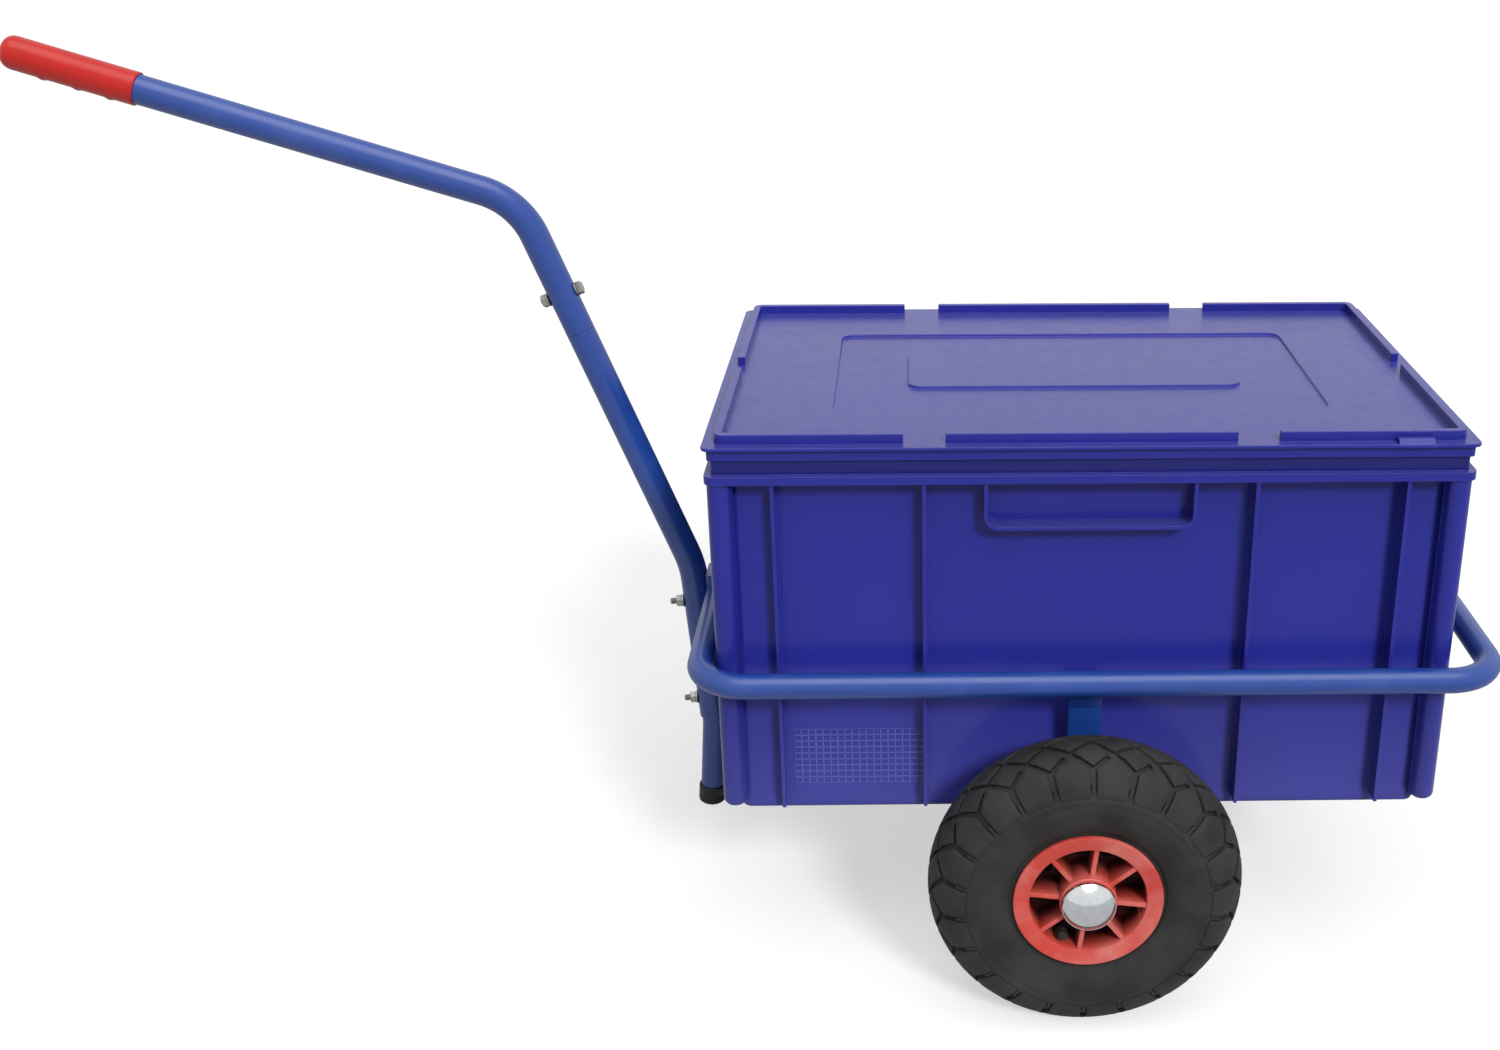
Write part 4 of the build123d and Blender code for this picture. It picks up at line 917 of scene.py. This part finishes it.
# stacking border: a ring cut at its gaps
outer, foot = smaller(plateSize, lid["borderInset"]), top - lid["borderSunk"]
inner = smaller(outer, lid["borderWidth"])
ringFaces = flatRing(bm, (*outer, lid["radius"], foot), (*inner, lid["radius"] / 2, foot), 8)
cuts = [((way * lid["gapAt"] + way2 * lid["gap"] / 2, 0, 0), (1, 0, 0)) for way in (-1, 1) for way2 in (-1, 1)]
cuts += [((0, way * lid["endGap"] / 2, 0), (0, 1, 0)) for way in (-1, 1)]
ringFaces = cutAcross(bm, ringFaces, cuts)
gaps = [f for f in ringFaces if abs(abs(f.calc_center_median().x) - lid["gapAt"]) < lid["gap"] / 2
        or abs(f.calc_center_median().y) < lid["endGap"] / 2]
border = [f for f in ringFaces if f not in gaps]
ops.delete(bm, geom=gaps, context="FACES")
raiseFaces(bm, border, (0, 0, lid["borderHeight"] + lid["borderSunk"]))
# locating lip inside the container's wall, and the lifting tab
outer, foot = smaller((rimLong, rimWide), lid["lipGap"]), under + lid["lipSunk"]
inner = smaller(outer, lid["lipWall"])
lipFaces = flatRing(bm, (*outer, lid["lipRadius"], foot), (*inner, lid["lipRadius"] / 2, foot), 8)
raiseFaces(bm, lipFaces, (0, 0, -lid["lip"] - lid["lipSunk"]))
tabFront, tabTall = -lid["width"] / 2 - lid["tabDepth"], plate + lid["tabHeight"]
before = set(bm.edges)
bar(bm, (lid["tabWidth"], lid["tabReach"], tabTall),
    (lid["tabAt"], tabFront + lid["tabReach"] / 2, under + tabTall / 2))
brow = [e for e in set(bm.edges) - before if all(v.co.z > top + 1 and v.co.y < tabFront + 1 for v in e.verts)]
roundOff(bm, brow, lid["tabSlope"], 1)
newPiece(bm, "stackingLid", "lid", "lid_plastic", polypropylene, "lid", edge=lid["edge"])

# Solids that keep their own shape get the real materials
kept = {"joint_sleeve": zincSteel, "axle": zincSteel, "axle_washers": zincSteel}
# the rim's bolts and nuts take the zinc darkened as painted shade
pairs = {"axle_hanger": powderCoat, "axle_spacer": zincSteel, "rollers": zincSteel, "rim_bolts": shadedZinc,
         "rim_nuts": shadedZinc, "roller_cage": polyethylene, "inner_tube": butylRubber}
for side, name in wheelSides:
    kept.update({node + "_" + name: material for node, material in pairs.items()})
for node, material in kept.items():
    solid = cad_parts[node]
    solid.data.materials.clear()
    solid.data.materials.append(material)
print("materials on", len(kept), "kept solids")

# Pale floor: keeps the shadow, and shows white to the eye
studio = dict(floorSize=60.0, floor="#b5b5b5", glow=0.56, mirrored=0.15, world=0.3, key=2.4, keyWide=12.0,
              keyWay=(0.351, -0.747, 0.566), top=1.5, topWide=50.0, topWay=(0.05, -0.35, 1.0))
bm = bmesh.new()
ops.create_grid(bm, x_segments=1, y_segments=1, size=studio["floorSize"] / 2)
floorMesh = bpy.data.meshes.new("floor")
bm.to_mesh(floorMesh)
bm.free()
floorPaint, tree, place = startMaterial("studio floor, matt white paint")
paths = add(tree, "LightPath")
seen = add(tree, "Math", [paths.outputs["Is Camera Ray"], paths.outputs["Is Transmission Ray"]],
           operation="MAXIMUM")
half = add(tree, "Math", [paths.outputs["Is Glossy Ray"], studio["mirrored"]], operation="MULTIPLY")
seen = add(tree, "Math", [seen, half], operation="MAXIMUM")
glow = add(tree, "Math", [seen, studio["glow"]], operation="MULTIPLY")
shader = add(tree, "BsdfPrincipled", {"Base Color": studio["floor"], "Roughness": 0.9,
                                      "Specular IOR Level": 0.0, "Emission Color": (1, 1, 1, 1),
                                      "Emission Strength": glow})
add(tree, "OutputMaterial", {"Surface": shader})
floorMesh.materials.append(floorPaint)
floor = bpy.data.objects.new("floor", floorMesh)
scene.collection.objects.link(floor)

world = bpy.data.worlds.new("studio")
world.use_nodes = True
tree = world.node_tree
tree.nodes.clear()
paths = add(tree, "LightPath")
seen = add(tree, "Math", [paths.outputs["Is Camera Ray"], paths.outputs["Is Glossy Ray"]],
           operation="MAXIMUM")
seen = add(tree, "Math", [seen, paths.outputs["Is Transmission Ray"]], operation="MAXIMUM")
level = add(tree, "MapRange", {"Value": seen, "To Min": studio["world"], "To Max": 1.0})
sky = add(tree, "Background", {"Color": (1, 1, 1, 1), "Strength": level})
add(tree, "OutputWorld", {"Surface": sky})
scene.world = world

for name in ("key", "top"):  # soft lamps far off: a small one from the front right, a wide one overhead
    lamp = bpy.data.lights.new(name + "Light", "SUN")
    lamp.energy = studio[name]
    lamp.angle = radians(studio[name + "Wide"])
    lampObject = bpy.data.objects.new(name + "Light", lamp)
    lampObject.rotation_euler = Vector(studio[name + "Way"]).to_track_quat("Z", "Y").to_euler()
    lampObject.visible_glossy = name != "key"  # a soft box, not a spot, in the shiny skins
    scene.collection.objects.link(lampObject)

# Camera at the photograph's place, for a frame of 1500 by 1050
view = dict(place=(-0.1375, -1.4372, 0.9356), turn=(67.656, 0.0, -1.092), sensor=36.0, lens=40.75,
            shift=-0.1306)
camera = bpy.data.cameras.new("camera")
camera.sensor_width, camera.lens, camera.shift_x = view["sensor"], view["lens"], view["shift"]
cameraObject = bpy.data.objects.new("camera", camera)
cameraObject.location = view["place"]
cameraObject.rotation_euler = [radians(angle) for angle in view["turn"]]
scene.collection.objects.link(cameraObject)
scene.camera = cameraObject
print("stage, lights and camera ready")
